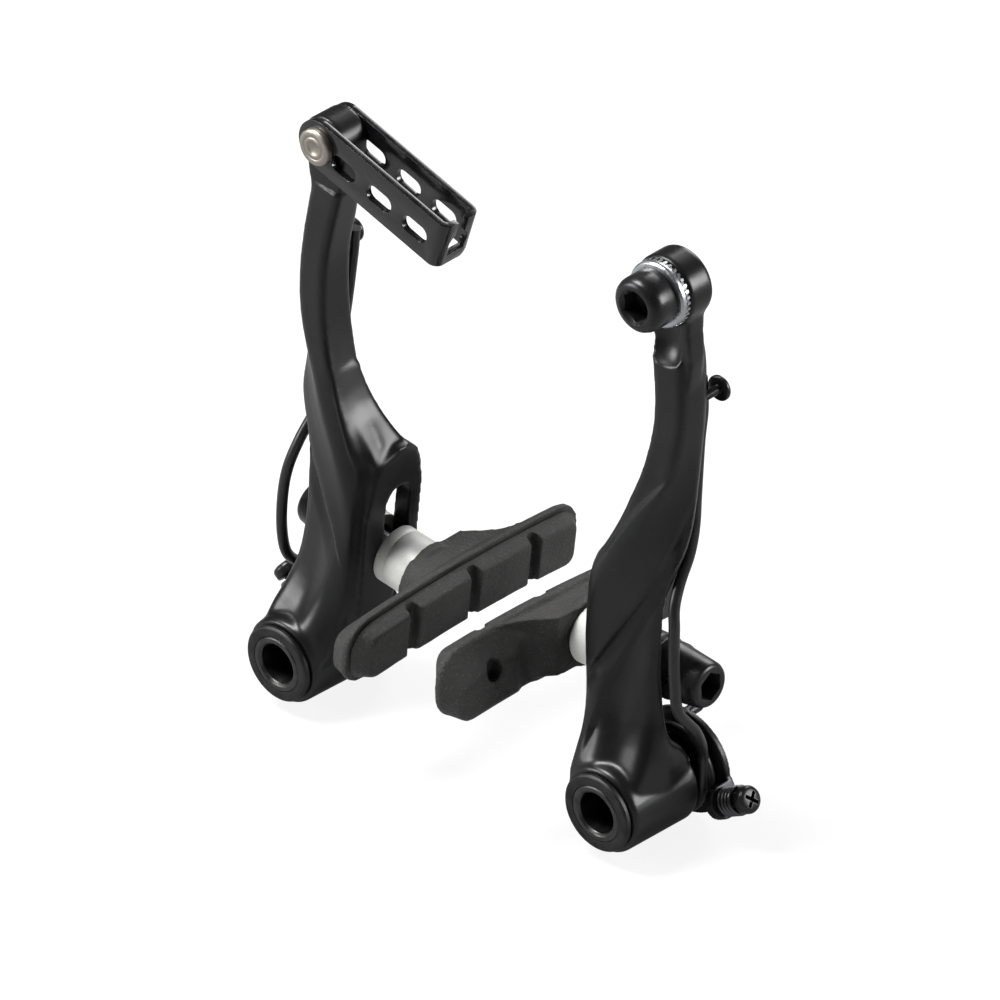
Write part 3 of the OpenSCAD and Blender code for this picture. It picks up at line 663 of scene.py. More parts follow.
def blasted_alloy(name, base):
    """Bead-blasted light alloy: pale grey and matt with a fine salt of darker grains."""
    net = Finish(name, Metallic=0.15, Specular_IOR_Level=0.4)
    grains = net.noise(0.35, 3, 0.7)
    net.colour(net.shades(grains, 0.55, 0.75, base, 1, 0.7))
    net.roughness(net.noise(2, 3), 0.42, 0.55)
    net.relief(grains, 0.01)


def bright_metal(name, base, rough):
    """Plated or drawn steel: bright, with a drawn grain and fine marks from handling."""
    net = Finish(name, Metallic=1.0)
    drawn = net.noise(0.5, 4, 0.6, net.vector("MULTIPLY", net.place, (1, 0.12, 1)))
    cloud = net.noise(3, 3)
    net.colour(net.shades(cloud, 0.3, 0.7, base, 0.82, 1))
    net.roughness(drawn, rough - 0.05, rough + 0.1)
    net.relief(drawn * 0.5 + cloud * 0.3, 0.01)


# ---- The user's sizes and colours ----

class BrakeSizes(bpy.types.PropertyGroup):
    """Sizes of the details that the solids leave out."""

    arm_grain: FloatProperty(name="Arm fineness", description="Size of the grid that rounds the forged arms",
                             default=0.00036, min=0.0003, max=0.001, unit="LENGTH", precision=5)
    pad_grain: FloatProperty(name="Pad fineness", description="Size of the grid that rounds the moulded pads",
                             default=0.0003, min=0.00025, max=0.001, unit="LENGTH", precision=5)
    edge_break: FloatProperty(name="Edge break", description="Width of the broken edges on turned hardware",
                              default=0.00018, min=0.00005, max=0.0004, unit="LENGTH", precision=5)
    thread_pitch: FloatProperty(name="Bolt thread pitch", description="Pitch of pad bolts and cable bolt",
                                default=0.001, min=0.0005, max=0.0015, unit="LENGTH", precision=5)
    screw_pitch: FloatProperty(name="Screw thread pitch", description="Pitch of the adjusting screws",
                               default=0.0007, min=0.0003, max=0.001, unit="LENGTH", precision=5)


class BrakeColours(bpy.types.PropertyGroup):
    """Colours of the main finishes."""

    arms: FloatVectorProperty(name="Arms", description="Black paint of the arms", subtype="COLOR",
                              default=(0.0045, 0.0045, 0.005), min=0, max=1)
    pads: FloatVectorProperty(name="Pads", description="Rubber of the pads", subtype="COLOR",
                              default=(0.024, 0.0232, 0.0226), min=0, max=1)
    spacers: FloatVectorProperty(name="Spacers", description="Light alloy of the domed washers and spacers",
                                 subtype="COLOR", default=(0.52, 0.52, 0.5), min=0, max=1)
    link: FloatVectorProperty(name="Link", description="Gloss paint of the cable link", subtype="COLOR",
                              default=(0.0035, 0.0035, 0.004), min=0, max=1)
    rivet: FloatVectorProperty(name="Rivet", description="Plating of the link's rivet", subtype="COLOR",
                               default=(0.36, 0.33, 0.29), min=0, max=1)
    floor: FloatVectorProperty(name="Floor", description="Colour of the floor and the backdrop",
                               subtype="COLOR", default=(0.94, 0.94, 0.94), min=0, max=1)


# ---- Pieces ----

def make_finishes(colours):
    """Every finish, under the name its pieces ask for."""
    arm_paint("arm_black_paint", colours.arms)
    moulded_rubber("grained_rubber", colours.pads)
    for side in SIDES:
        centre = tuple(half(side) @ Vector((0, 0, 0)))
        turned_metal(f"turned_sleeve_{side}", (0.075, 0.074, 0.073), 0.36, 0.18, centre)
        turned_metal(f"blued_collar_{side}", (0.045, 0.045, 0.046), 0.48, 0.22, centre)
    coated_metal("blued_plate", (0.02, 0.02, 0.022), 0.36, 0.6, metallic=0.6)
    coated_metal("blued_cup", (0.03, 0.03, 0.032), 0.32, 0.6, metallic=0.6)
    coated_metal("black_spring_coat", (0.006, 0.006, 0.0065), 0.34, 0.4)
    coated_metal("black_oxide", (0.014, 0.014, 0.015), 0.3, 0.4, metallic=0.5)
    coated_metal("black_link_paint", colours.link, 0.2, 1.2, coat=0.25)
    bright_metal("drawn_spring_steel", (0.12, 0.12, 0.125), 0.34)
    bright_metal("rivet_nickel", colours.rivet, 0.4)
    bright_metal("bright_zinc_plate", (0.5, 0.51, 0.53), 0.3)
    bright_metal("drawn_bolt_steel", (0.2, 0.2, 0.21), 0.34)
    blasted_alloy("blasted_alloy", colours.spacers)


def slot_cutter(side):
    """Mouth of the height slot for the pad bolt."""
    r = SLOT_W / 2
    z0, z1 = STUD_Z - SLOT_DOWN, STUD_Z + SLOT_UP
    outline = [(STUD_Y + r * math.cos(a), z1 + r * math.sin(a)) for a in [math.pi * k / 24 for k in range(25)]]
    outline += [(STUD_Y - r * math.cos(a), z0 - r * math.sin(a)) for a in [math.pi * k / 24 for k in range(25)]]
    place = on_arm(side) @ turn(90, "Z") @ turn(90, "X")
    return prism("slot", outline, -PLATE_INNER - 1, -PLATE_OUTER + 1, place)


# Creases of the forged front faces in an arm's own x and z: the line, the depth of the hollow on its right,
# going up the line, and how wide the hollow runs out
CREASES = {
    "right": [([(-8.6, 21.5), (-6.7, 25.4), (-2.6, 31.9), (3.8, 41.9), (9.4, 54.2), (12.6, 65)], 1.0, 4.2),
              ([(-6.6, 8), (-5.9, 13.5), (-3.8, 22.5), (0.7, 32.5), (7.2, 46), (10.6, 58)], 0.85, 7),
              ([(13.5, 71), (10.9, 68.1), (4.1, 60.1), (-2.2, 50.5), (-5, 45)], 0.6, 7)],
    "left": [([(10.6, 50), (6.5, 42.5), (1.4, 37.1), (-4, 29.9), (-7.9, 23.1)], 0.9, -5),
             ([(1.5, 62), (-0.5, 56.9), (-2.7, 52.8), (-5, 48.9), (-7.3, 45), (-8.3, 40)], 0.45, -4)],
}


# Share of a crease's width on its steep side, and the length in millimetres over which its ends fade
CREASE_STEEP, CREASE_FADE = 0.14, 6

# Boxes in an arm's own millimetres where the forging is smoother
EASED_BOXES = [[(-14, 0, 37), (4, 30, 62)], [(-12, -2, 4), (12, 12, 17)], [(6, 13, 82), (22, 22, 106)]]

# Fillets of the forging, as [z, lowest x, highest x, lowest y, highest y] slices in an arm's own millimetres
SHOULDER_FILLET = [(61, 1.2, 6, 12, 17.4), (57, -0.6, 5, 12, 18), (54, -2.2, 3, 12, 18.7),
                   (51.5, -4.1, 1, 12, 19.3), (49.5, -5.9, -1, 12, 19.9), (47.5, -7.6, -3.2, 12, 20.7),
                   (46, -8.7, -4.5, 12, 21.7), (44, -9.7, -5.7, 12, 23.5)]
NECK_FILLET = [(104, 12.4, 15.9, 12.8, 17.4), (101, 12.4, 15, 12.8, 17.4), (98, 12.4, 14.7, 12.8, 17.4),
               (95, 12.4, 14.8, 13, 17.3), (92, 12, 14.7, 13.2, 17.2), (86, 11, 13.6, 13.6, 16.8)]


def fillet(name, slices, place):
    """Closed solids through neighbouring slices."""
    parts = []
    for one, two in zip(slices, slices[1:]):
        corners = [(x, y, z) for z, x0, x1, y0, y1 in (one, two)
                   for x, y in ((x0, y0), (x1, y0), (x1, y1), (x0, y1))]
        faces = [(3, 2, 1, 0), (4, 5, 6, 7)] + [(k, (k + 1) % 4, 4 + (k + 1) % 4, 4 + k) for k in range(4)]
        parts.append(mesh_of(name, corners, faces, place))
    return parts


def creased(arm, side):
    """Presses the creases into the front face of an arm."""
    mesh = arm.data
    facing = np.clip(-rows_of(mesh.vertex_normals, "vector")[:, 1] * 1.6 - 0.3, 0, 1)
    own = carried(rows_of(mesh.vertices, "co"), on_arm(side).inverted())
    flat = own[:, [0, 2]]
    for line, depth, width in CREASES[side]:
        line = np.array(line, float)
        lengths = np.hypot(*np.diff(line, axis=0).T)
        starts = np.concatenate([[0], np.cumsum(lengths)])
        near = np.full(len(flat), 1e9)
        signed, along = np.zeros(len(flat)), np.zeros(len(flat))
        for k, (a, b) in enumerate(zip(line, line[1:])):
            way = (b - a) / lengths[k]
            t = np.clip((flat - a) @ way, 0, lengths[k])
            off = flat - a - t[:, None] * way
            far = np.hypot(*off.T)
            side_of = np.sign(way[1] * (flat[:, 0] - a[0]) - way[0] * (flat[:, 1] - a[1]))
            nearer = far < near
            near = np.where(nearer, far, near)
            signed = np.where(nearer, side_of * far, signed)
            along = np.where(nearer, starts[k] + t, along)
        u = signed / width
        steep = CREASE_STEEP
        rise = np.where(u < steep, u / steep, 0.5 + 0.5 * np.cos(np.pi * (u - steep) / (1 - steep)))
        fade = np.clip(np.minimum(along, starts[-1] - along) / CREASE_FADE, 0, 1)
        own[:, 1] += depth * np.where((u > 0) & (u < 1), rise, 0) * fade * facing
    mesh.vertices.foreach_set("co", carried(own, on_arm(side)).ravel())
    mesh.update()


def make_arm(side, sizes):
    """Forged arm: soft edges all over, its creases, then its machined bores and slot."""
    added = fillet("shoulder", SHOULDER_FILLET, on_arm(side))
    if side == "right":
        added += fillet("neck", NECK_FILLET, on_arm(side))
    arm = softened(f"arm_{side}", f"forged_arm_{side}", sizes.arm_grain / MM, ARM_ROUNDS, added)
    eased(arm, on_arm(side), EASED_BOXES)
    creased(arm, side)
    cutters = [rod("bore", SLEEVE_R + 0.05, BARREL_FRONT - 2, BARREL_BACK + 2, on_arm(side) @ ALONG_Y),
               rod("eye", (RIVET_R if side == "left" else CABLE_BOLT_R) + 0.05, 0, 40, on_eye(side) @ ALONG_Y),
               slot_cutter(side)]
    cut(arm, cutters)
    finish(arm, f"{side}_arm", [f"arm_{side}"], "arm_black_paint", sharp=40)


def make_pivot(side, sizes):
    """Sleeve on the boss, with its shoulder, and the front collar."""
    edge, place = sizes.edge_break / MM, half(side) @ ALONG_Y
    back, shoulder, inner = BARREL_BACK + 0.15, SLEEVE_R + 0.7, SLEEVE_R + 0.02
    sleeve = lathe(f"pivot_sleeve_turned_{side}", [
        [BORE_R + 0.5, 0], [SLEEVE_R - 0.25, 0], [SLEEVE_R, 0.25], [SLEEVE_R, back], [shoulder, back],
        [shoulder, PLATE_FRONT], [SLEEVE_R, PLATE_FRONT], [SLEEVE_R, SEAT_Y], [BORE_R + 0.2, SEAT_Y],
        [BORE_R, SEAT_Y - 0.3], [BORE_R, 0.5]], place, closed=True)
    finish(bevelled(sleeve, 0.4 * edge), "frame_side", [f"pivot_sleeve_{side}"], f"turned_sleeve_{side}")
    collar = lathe(f"front_collar_turned_{side}", [
        [inner, 0.1], [COLLAR_R - 0.35, 0.1], [COLLAR_R, 0.45], [COLLAR_R, COLLAR_BACK], [inner, COLLAR_BACK]],
        place, closed=True)
    finish(bevelled(collar, 0.5 * edge), "frame_side", [f"front_collar_{side}"], f"blued_collar_{side}")


def smooth_route(points, steps):
    """Points along a smooth curve through a route."""
    out = []
    last = len(points) - 1
    for k in range(steps + 1):
        s = k / steps * last
        i = min(int(s), last - 1)
        t = s - i
        p = [Vector(points[min(max(j, 0), last)]) for j in (i - 1, i, i + 1, i + 2)]
        m0 = (p[2] - p[0]) / (1 if i == 0 else 2)
        m1 = (p[3] - p[1]) / (1 if i == last - 1 else 2)
        out.append((2 * t ** 3 - 3 * t ** 2 + 1) * p[1] + (t ** 3 - 2 * t ** 2 + t) * m0
                   + (3 * t ** 2 - 2 * t ** 3) * p[2] + (t ** 3 - t ** 2) * m1)
    return out


def spring_route(side):
    """The coil round the pivot, then the leg up the arm to its pin."""
    coil = []
    for k in range(COIL_STEPS + 1):
        angle = math.radians(-COIL_TURN + COIL_TURN * k / COIL_STEPS)
        y = COIL_BACK + (COIL_FRONT - COIL_BACK) * k / COIL_STEPS
        coil.append(Vector((COIL_R * math.cos(angle), y, COIL_R * math.sin(angle))))
    hook = [Vector((HOOK_X, HOOK_Y, PIN_Z - 4)), Vector((HOOK_X, HOOK_Y, PIN_Z + 2.4))]
    if side == "right":
        leg = [(COIL_R + 0.35, COIL_FRONT + 0.1, 6.6), (10.3, 16.2, 13.6), (9.9, 12.2, 19.6), (9.6, 11.85, 26),
               (9.6, 11.9, 32), (9.7, 12.1, 37), (9.1, 13.0, 41), (8.7, 15.1, 45), (9.1, 17.4, 50),
               (9.1, 18.9, 55), (8.6, 20.2, 61), (HOOK_X - 0.6, HOOK_Y - 0.5, 71), *hook]
    else:
        leg = [(COIL_R + 0.5, COIL_FRONT, 6.2), (9.7, 17.4, 10), (9.3, 13.6, 14.4), (9.0, 12.4, 20),
               (8.3, 12.3, 27), (6.6, 12.4, 34), (5.0, 14.4, 40), (3.6, 17.8, 45.6), (1.8, 20.3, 52.5),
               (-1.4, 21.1, 64), *(turn(-LEFT_LEAN, "Y") @ end for end in hook)]
    return coil + smooth_route([(COIL_R, COIL_FRONT, 0)] + leg, LEG_STEPS)[1:]


def make_spring(side, sizes):
    """Spring plate, return spring and the pin that the spring's end lies against."""
    edge = sizes.edge_break / MM
    plate = softened(f"spring_plate_{side}", f"spring_plate_pressed_{side}", PLATE_GRID, PLATE_ROUNDS)
    finish(plate, "frame_side", [f"spring_plate_{side}"], "blued_plate", sharp=0)
    coil = wire(f"return_spring_wound_{side}", spring_route(side), WIRE_R, half(side), "black_spring_coat")
    finish(coil, None, [f"return_spring_{side}"], "black_spring_coat", sharp=50)
    # Points by the front of the coil, below and above the pivot; the coil is then baked where it lies
    still = half(side) @ Vector((0, COIL_FRONT, -COIL_R - 1))
    turned = half(side) @ Vector((0, COIL_FRONT, COIL_R + 9))
    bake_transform(coil)
    pin = lathe(f"spring_pin_turned_{side}", [[0, PIN_ROOT], [PIN_R, PIN_ROOT]] + lifted([
        [PIN_R, -0.2], [2.2, -0.2], [2.45, 0], [2.45, 0.55], [2.1, 0.92], [1.5, 1], [1.1, 0.7], [0, 0.6]], PIN_Y),
        on_arm(side) @ Matrix.Translation((PIN_X, 0, PIN_Z)) @ ALONG_Y, around=48)
    finish(bevelled(pin, 0.5 * edge), f"{side}_arm", [f"spring_pin_{side}"], "black_oxide")


def make_adjuster(side, sizes):
    """Screw with its cross recess and thread, and the small coil under its head."""
    edge = sizes.edge_break / MM
    foot, head0, core = -LUG_THICK / 2 - 0.5, LUG_THICK / 2 + SMALL_SPRING_LEN, SCREW_R - 0.12
    head1 = head0 + 2.3
    place = on_screw(side)
    screw = lathe(f"adjuster_blank_{side}", [
        [0, foot], [SCREW_R - 0.35, foot], [core, foot + 0.3], [core, head0], [2.4, head0],
        [2.6, head0 + 0.2], [2.6, head1 - 0.8], [2.3, head1 - 0.25], [1.7, head1], [0, head1]], place, around=64)
    bevelled(screw, 0.6 * edge)
    bar = [(x * CROSS_LONG, y * CROSS_WIDE) for x, y in ((-1, -1), (1, -1), (1, 1), (-1, 1))]
    cut(screw, [prism("recess", bar, head1 - CROSS_DEEP, head1 + 1, place @ turn(quarter, "Z"))
                for quarter in (45, 135)])
    ridge = thread(f"adjuster_thread_{side}", SCREW_R - 0.14, foot + 0.2, head0, sizes.screw_pitch / MM, 0.14,
                   place, "black_oxide")
    screw = joined(f"adjuster_screw_cut_{side}", [screw, ridge])
    finish(screw, f"{side}_adjuster", [f"adjuster_screw_{side}"], "black_oxide", sharp=30)
    z0 = LUG_THICK / 2 + SMALL_WIRE_R + 0.05
    rise = SMALL_SPRING_LEN - 2 * SMALL_WIRE_R - 0.1
    path = []
    for k in range(SMALL_STEPS + 1):
        angle = 2 * math.pi * SMALL_TURNS * k / SMALL_STEPS
        z = z0 + rise * k / SMALL_STEPS
        path.append(Vector((SMALL_COIL_R * math.cos(angle), SMALL_COIL_R * math.sin(angle), z)))
    coil = wire(f"adjuster_spring_wound_{side}", path, SMALL_WIRE_R, place, "drawn_spring_steel", sides=12)
    finish(coil, None, [f"adjuster_spring_{side}"], "drawn_spring_steel", sharp=50)
    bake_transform(coil)


def ball_arc(z0, z1, centre, radius, steps=10):
    """[radius, height] points on a ball about the pad bolt, between two heights."""
    heights = [z0 + (z1 - z0) * k / steps for k in range(steps + 1)]
    return [[math.sqrt(max(radius ** 2 - (z - centre) ** 2, 0)), z] for z in heights]


def make_washers(side, sizes):
    """Domed washers, pad-side spacer, cup washer and flat washer, all on the pad bolt."""
    edge = sizes.edge_break / MM
    place = on_stud(side)
    mid = -(PLATE_INNER + PLATE_OUTER) / 2
    hole = STUD_R + 0.75
    top = math.sqrt(BALL_R ** 2 - hole ** 2)
    for label, sign, plate in (("inner", -1, -PLATE_INNER), ("outer", 1, -PLATE_OUTER)):
        seat = plate + sign * SEAT_GAP
        rim = mid + sign * DOME_SEAT
        arc = ball_arc(rim, mid + sign * top, mid, BALL_R)
        dome = lathe(f"{label}_dome_turned_{side}", [
            [hole, seat], [WASHER_R, seat], [WASHER_R, rim - sign * 0.35]] + arc[1:], place, closed=True)
        finish(bevelled(dome, 0.6 * edge), f"{side}_height", [f"{label}_dome_washer_{side}"], "blasted_alloy")
    cup_r, bore, shy = BALL_R + SLACK, STUD_R + 0.1, WASHER_R - 0.3
    lip, deep = math.sqrt(cup_r ** 2 - WASHER_R ** 2), math.sqrt(cup_r ** 2 - bore ** 2)
    arc = ball_arc(lip, deep, 0, cup_r)
    spacer = lathe(f"pad_spacer_turned_{side}", [[r, mid - z] for r, z in arc[1:]] + [
        [bore, -PAD_BOSS_X], [shy, -PAD_BOSS_X], [WASHER_R, -PAD_BOSS_X + 0.3],
        [WASHER_R, mid - lip - 0.35], [shy, mid - lip - 0.05]], place, closed=True)
    finish(bevelled(spacer, 0.5 * edge), f"{side}_tilt", [f"pad_spacer_{side}"], "blasted_alloy")
    cup = lathe(f"cup_washer_turned_{side}", lifted(arc, mid) + [
        [bore, WASHER_X], [shy, WASHER_X], [WASHER_R, WASHER_X - 0.3], [WASHER_R, mid + lip + 0.01]],
        place, closed=True)
    finish(bevelled(cup, 0.5 * edge), f"{side}_tilt", [f"cup_washer_{side}"], "blued_cup")
    flat = lathe(f"flat_washer_pressed_{side}", lifted([
        [bore, 0], [NUT_R + 0.05, 0], [NUT_R + 0.2, 0.15], [NUT_R + 0.2, 0.85], [NUT_R + 0.05, 1], [bore, 1]],
        WASHER_X), place, closed=True)
    finish(bevelled(flat, 0.4 * edge), f"{side}_tilt", [f"flat_washer_{side}"], "black_oxide")


def make_pad_bolt(side, sizes):
    """Threaded pad bolt and its closed nut with a hexagon socket."""
    edge, place = sizes.edge_break / MM, on_stud(side)
    end, grip = NUT_X + 0.55 * NUT_LEN, -PAD_BOSS_X - GRIP_DEPTH
    core, bore = STUD_R - 0.18, STUD_R + 0.05
    bolt = lathe(f"pad_bolt_blank_{side}", [
        [0, grip - GRIP_THICK], [GRIP_R, grip - GRIP_THICK], [GRIP_R, grip], [core, grip], [core, end - 0.4],
        [STUD_R - 0.6, end], [0, end]], place)
    ridge = thread(f"pad_bolt_thread_{side}", STUD_R - 0.24, -PAD_BOSS_X, end - 0.5, sizes.thread_pitch / MM, 0.22,
                   place, "drawn_bolt_steel")
    bolt = joined(f"pad_bolt_threaded_{side}", [bolt, ridge])
    finish(bolt, f"{side}_shoe", [f"pad_stud_{side}"], "drawn_bolt_steel", sharp=30)
    nut = lathe(f"pad_nut_turned_{side}", lifted([
        [bore, SEAT_GAP], [NUT_R - 0.15, SEAT_GAP], [NUT_R, 0.2], [NUT_R, 0.25 * NUT_LEN],
        [NUT_R - 0.25, 0.32 * NUT_LEN], [NUT_R - 0.95, NUT_LEN - 0.9], [NUT_R - 1.3, NUT_LEN - 0.25],
        [NUT_R - 1.7, NUT_LEN], [0, NUT_LEN], [0, 0.6 * NUT_LEN], [bore, 0.6 * NUT_LEN]], NUT_X),
        place, closed=True)
    cut(nut, [prism("socket", hexagon(NUT_SOCKET), end, NUT_X + NUT_LEN + 1, place)])
    finish(bevelled(nut, 0.7 * edge), f"{side}_shoe", [f"pad_nut_{side}"], "black_oxide")


def pad_outline(top, bottom, ends, r, steps=6, long_steps=24):
    """Outline of the pad seen from the wheel, as [along the rim, up], bent like the rim."""
    h = (PAD_HEIGHT - top - bottom) / 2 - r
    length = PAD_LEN / 2 - ends - r
    mid = (bottom - top) / 2
    flat = []
    for a, b, start in ((1, 1, 0), (-1, 1, 90), (-1, -1, 180), (1, -1, 270)):
        for k in range(steps + 1):
            angle = math.radians(start + 90 * k / steps)
            flat.append((a * length + r * math.cos(angle), b * h + r * math.sin(angle)))
        if a * b > 0:
            flat += [(a * length * (1 - 2 * k / long_steps), b * (h + r)) for k in range(1, long_steps)]
    return [(PAD_OFFSET + y, mid + z - (PAD_OFFSET + y) ** 2 / (2 * RIM_R)) for y, z in flat]


def seam_cutter(side):
    """Thin band round the pad where the friction block meets its backing."""
    outer = pad_outline(SEAM_REACH, SEAM_REACH, SEAM_REACH, 6)
    inner = pad_outline(SEAM_DEPTH, SEAM_DEPTH, SEAM_DEPTH, 4.2)
    n = len(outer)
    points = [(-PAD_SEAM + dx, y, z) for ring in (outer, inner)
              for dx in (-SEAM_HALF_WIDTH, SEAM_HALF_WIDTH) for y, z in ring]
    faces = []
    for k in range(n):
        j = (k + 1) % n
        faces += [(k, j, n + j, n + k), (2 * n + j, 2 * n + k, 3 * n + k, 3 * n + j),
                  (j, k, 2 * n + k, 2 * n + j), (n + k, n + j, 3 * n + j, 3 * n + k)]
    return mesh_of("seam", points, faces, on_pad(side))


def make_pad(side, sizes):
    """Moulded pad: rounded edges, the parting line between block and backing, and a clean blind hole."""
    pad = softened(f"brake_pad_{side}", f"moulded_pad_{side}", sizes.pad_grain / MM, PAD_ROUNDS)
    cut(pad, [seam_cutter(side)])
    finish(pad, f"{side}_shoe", [f"brake_pad_{side}"], "grained_rubber", sharp=42)


def make_link(sizes):
    """Pressed link and its rivet, whose front head is dimpled."""
    edge = sizes.edge_break / MM
    link = bevelled(sharp_copy("cable_link", "pressed_cable_link"), 0.22, segments=3, limit=35)
    finish(link, "link", ["cable_link"], "black_link_paint", sharp=40)
    head = lifted([[0, -1.05], [0.7, -1.1], [1.3, -1.3], [1.5, -1.42], [1.9, -1.42], [2.1, -1.3], [2.3, -1.3],
                   [2.5, -1.4], [3.1, -1.38], [3.5, -1.2], [3.6, -1.0], [3.6, -0.02], [RIVET_R, -0.02]], -LINK_W / 2)
    tail = lifted([[RIVET_R, 0.02], [3.3, 0.02], [3.3, 0.6], [2.9, 1.05], [2.4, 1.2], [0, 1.2]], LINK_W / 2)
    rivet = lathe("link_rivet_headed", head + tail, on_link() @ ALONG_Y)
    finish(bevelled(rivet, 0.6 * edge), "left_arm", ["link_rivet"], "rivet_nickel")


def make_clamp(sizes):
    """Socket bolt with its rounded head, and the toothed washer that holds the cable."""
    edge = sizes.edge_break / MM
    place = on_eye("right") @ ALONG_Y
    foot = BOSS_FRONT - CLAMP_THICK - SEAT_GAP
    top = foot - 5.6
    core, end = CABLE_BOLT_R - 0.05, BOSS_BACK + 0.4
    bolt = lathe("cable_bolt_blank", lifted([
        [0, 0], [3.7, 0], [4.45, 0.25], [4.95, 0.7], [5.25, 1.5], [5.3, 2.4]], top) + [
        [5.3, foot], [core, foot], [core, BOSS_BACK + 0.1], [CABLE_BOLT_R - 0.4, end], [0, end]], place)
    sink = lifted([[0, -1], [4.5, -1], [3.45, -0.05], [2.45, 0.75], [0, 0.75]], top)
    cut(bolt, [prism("socket", hexagon(CABLE_SOCKET), top - 1, top + 3.6, place @ turn(30, "Z")),
               lathe("countersink", sink, place)])
    bevelled(bolt, edge)
    finish(bolt, "clamp_bolt", ["cable_bolt"], "black_oxide", sharp=30)
    back, bore = BOSS_FRONT - 0.02, CABLE_BOLT_R + 0.1
    front = back - CLAMP_THICK
    washer = lathe("cable_washer_blank", [
        [bore, front], [6.0, front], [6.3, front + 0.3], [6.35, back - 0.9], [6.1, back - 0.85], [6.1, back],
        [bore, back]], place, closed=True)
    bevelled(washer, 0.5 * edge)
    teeth = grown("cable_washer_teeth", "Teeth round a ring", "bright_zinc_plate",
                  {"Radius": TEETH_R, "Count": TEETH, "Size": TOOTH})
    moved(teeth, place @ Matrix.Translation((0, 0, back - 0.4)))
    washer = joined("cable_washer_toothed", [washer, teeth])
    finish(washer, "clamp_washer", ["cable_washer"], "bright_zinc_plate", sharp=30)


# ---- Stage ----

def aim(thing, spot):
    direction = Vector(spot) - thing.location
    thing.rotation_euler = direction.to_track_quat("-Z", "Y").to_euler()


def make_camera():
    """Camera of the photograph, found from the pivots, the rivet, the bolt and the pads."""
    azimuth, elevation, roll = (math.radians(angle) for angle in (AZIMUTH, ELEVATION, ROLL))
    back = Vector((math.sin(azimuth) * math.cos(elevation), -math.cos(azimuth) * math.cos(elevation),
                   math.sin(elevation)))
    level = Vector((math.cos(azimuth), math.sin(azimuth), 0))
    upright = back.cross(level)
    right = math.cos(roll) * level + math.sin(roll) * upright
    up = math.cos(roll) * upright - math.sin(roll) * level
    forward = (right * OFF_RIGHT_PX + up * OFF_UP_PX - back * FOCAL_PX).normalized()
    right = forward.cross(up).normalized()
    up = right.cross(forward)
    camera = bpy.data.cameras.new("camera")
    camera.sensor_width = 36
    camera.lens = FOCAL_PX * camera.sensor_width / FRAME_PX
    camera.clip_start, camera.clip_end = 0.05, 20
    thing = object_of("camera", camera)
    turned = Matrix((right, up, -forward)).transposed().to_4x4()
    thing.matrix_world = Matrix.Translation(CAMERA_TARGET + back * AWAY) @ turned
    bpy.context.scene.camera = thing


def make_floor(colour):
    """Pale floor that looks white to the camera and dimmer in the gloss of the pieces, and keeps the shadow."""
    low = CAD_BOX[0][2] - FLOOR_DROP
    corners = [(x * FLOOR_REACH, y * FLOOR_REACH, low) for x, y in ((-1, -1), (1, -1), (1, 1), (-1, 1))]
    floor = mesh_of("floor", corners, [(0, 1, 2, 3)])
    material = bpy.data.materials.new("floor_white")
    net = Shading(material, "ShaderNodeOutputMaterial")
    plain, dim = (net.node("ShaderNodeBsdfDiffuse", {"Color": (*shade(colour, share), 1)})
                  for share in (1, FLOOR_IN_GLOSS))
    seen = net.either(net.ray("Glossy"), plain, dim)
    net.surface(net.either(net.ray("Camera") * FLOOR_GLOW, seen, net.node("ShaderNodeEmission")))
    floor.data.materials.append(material)


def make_stage(colours):
    """Pale floor, white surroundings, soft lamps and the camera."""
    make_floor(colours.floor)
    world = bpy.data.worlds.new("studio")
    bpy.context.scene.world = world
    net = Shading(world, "ShaderNodeOutputWorld")
    soft, white = (net.node("ShaderNodeBackground", {"Color": (1, 1, 1, 1), "Strength": strength})
                   for strength in (WORLD_STRENGTH, 1))
    net.surface(net.either(net.ray("Camera"), soft, white))
    for name, spot, size, power in LAMPS:
        lamp = bpy.data.lights.new(name, "AREA")
        lamp.shape, lamp.size, lamp.energy = "SQUARE", size, power
        thing = object_of(name, lamp)
        thing.location = spot
        aim(thing, LAMP_TARGET)
    make_camera()


# ---- Operators ----

def maker(idname, label, doc, work):
    """Operator that does one piece of work."""

    def execute(self, context):
        scene = context.scene
        work(scene.brake_sizes, scene.brake_colours)
        return {"FINISHED"}

    return type("BRAKE_OT_" + idname, (bpy.types.Operator,), {
        "__doc__": doc, "bl_idname": "brake." + idname, "bl_label": label, "bl_options": {"REGISTER"},
        "execute": execute})


def both(make):
    return lambda sizes, colours: [make(side, sizes) for side in SIDES]


def single(make):
    return lambda sizes, colours: make(sizes)


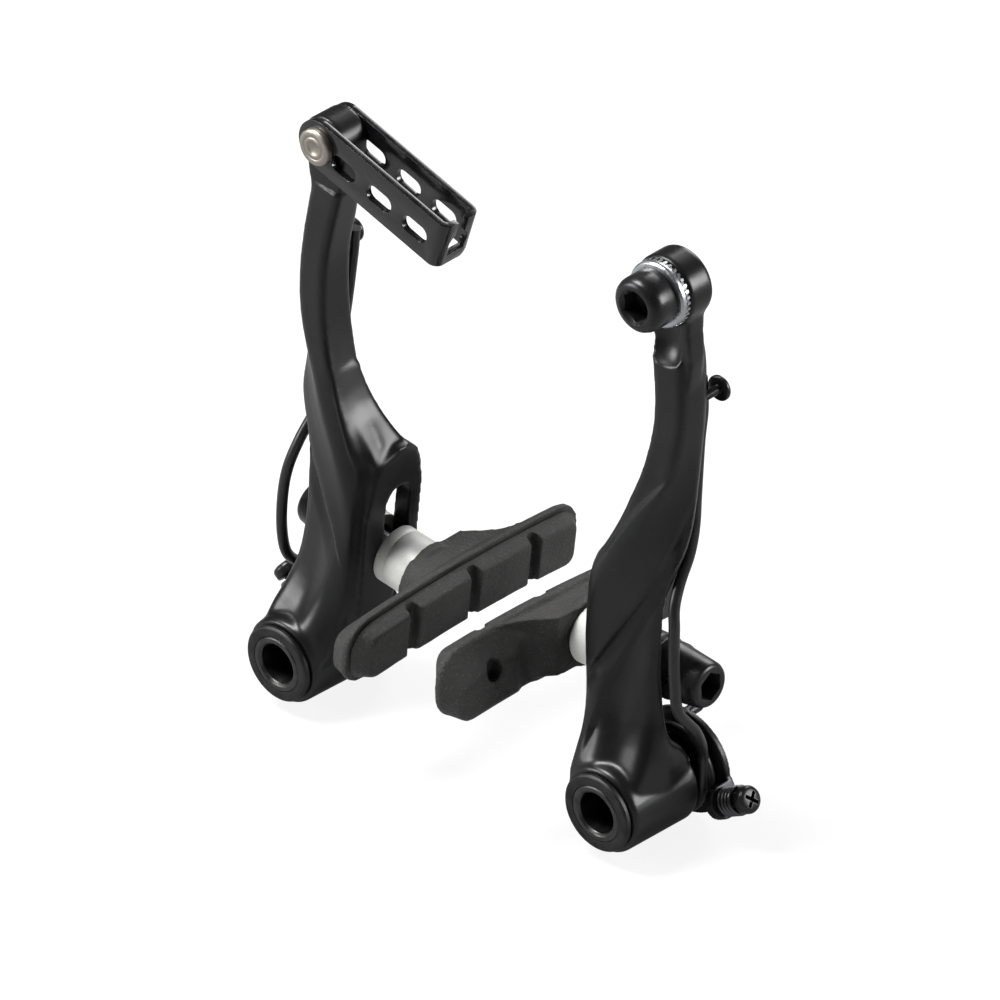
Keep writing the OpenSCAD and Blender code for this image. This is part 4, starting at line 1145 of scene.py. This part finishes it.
def first_things(sizes, colours):
    make_finishes(colours)
    wire_tree()
    thread_tree()
    teeth_tree()


STEPS = [
    maker("finishes", "Finishes and node trees", "Makes every material and node tree", first_things),
    maker("stage", "Stage", "Makes the floor, the light and the camera",
          lambda sizes, colours: make_stage(colours)),
    maker("arms", "Forged arms", "Makes both forged arms", both(make_arm)),
    maker("pivots", "Pivots", "Makes the pivot sleeves and front collars", both(make_pivot)),
    maker("springs", "Return springs", "Makes the return springs, their plates and pins", both(make_spring)),
    maker("adjusters", "Adjusting screws", "Makes the adjusting screws and small springs", both(make_adjuster)),
    maker("washers", "Pad washers", "Makes the washers and spacers on the pad bolts", both(make_washers)),
    maker("pad_bolts", "Pad bolts", "Makes the pad bolts and closed nuts", both(make_pad_bolt)),
    maker("pads", "Pads", "Makes the moulded pads", both(make_pad)),
    maker("link", "Cable link", "Makes the cable link and its rivet", single(make_link)),
    maker("clamp", "Cable clamp", "Makes the cable bolt and its washer", single(make_clamp)),
]


class BRAKE_PT_panel(bpy.types.Panel):
    """Sizes, colours and steps of the rim brake."""

    bl_label = "Rim brake"
    bl_idname = "BRAKE_PT_panel"
    bl_space_type = "VIEW_3D"
    bl_region_type = "UI"
    bl_category = "Rim brake"

    def draw(self, context):
        for group in (context.scene.brake_sizes, context.scene.brake_colours):
            for name in group.__annotations__:
                self.layout.prop(group, name)
        for step in STEPS:
            self.layout.operator(step.bl_idname)


CLASSES = [BrakeSizes, BrakeColours, *STEPS, BRAKE_PT_panel]


def register():
    for item in CLASSES:
        bpy.utils.register_class(item)
    bpy.types.Scene.brake_sizes = PointerProperty(type=BrakeSizes)
    bpy.types.Scene.brake_colours = PointerProperty(type=BrakeColours)


def unregister():
    del bpy.types.Scene.brake_colours
    del bpy.types.Scene.brake_sizes
    for item in reversed(CLASSES):
        bpy.utils.unregister_class(item)


def main():
    register()
    bpy.context.scene.view_settings.view_transform = "Standard"
    for step in STEPS:
        group, name = step.bl_idname.split(".")
        getattr(getattr(bpy.ops, group), name)()


if __name__ == "__main__":
    main()
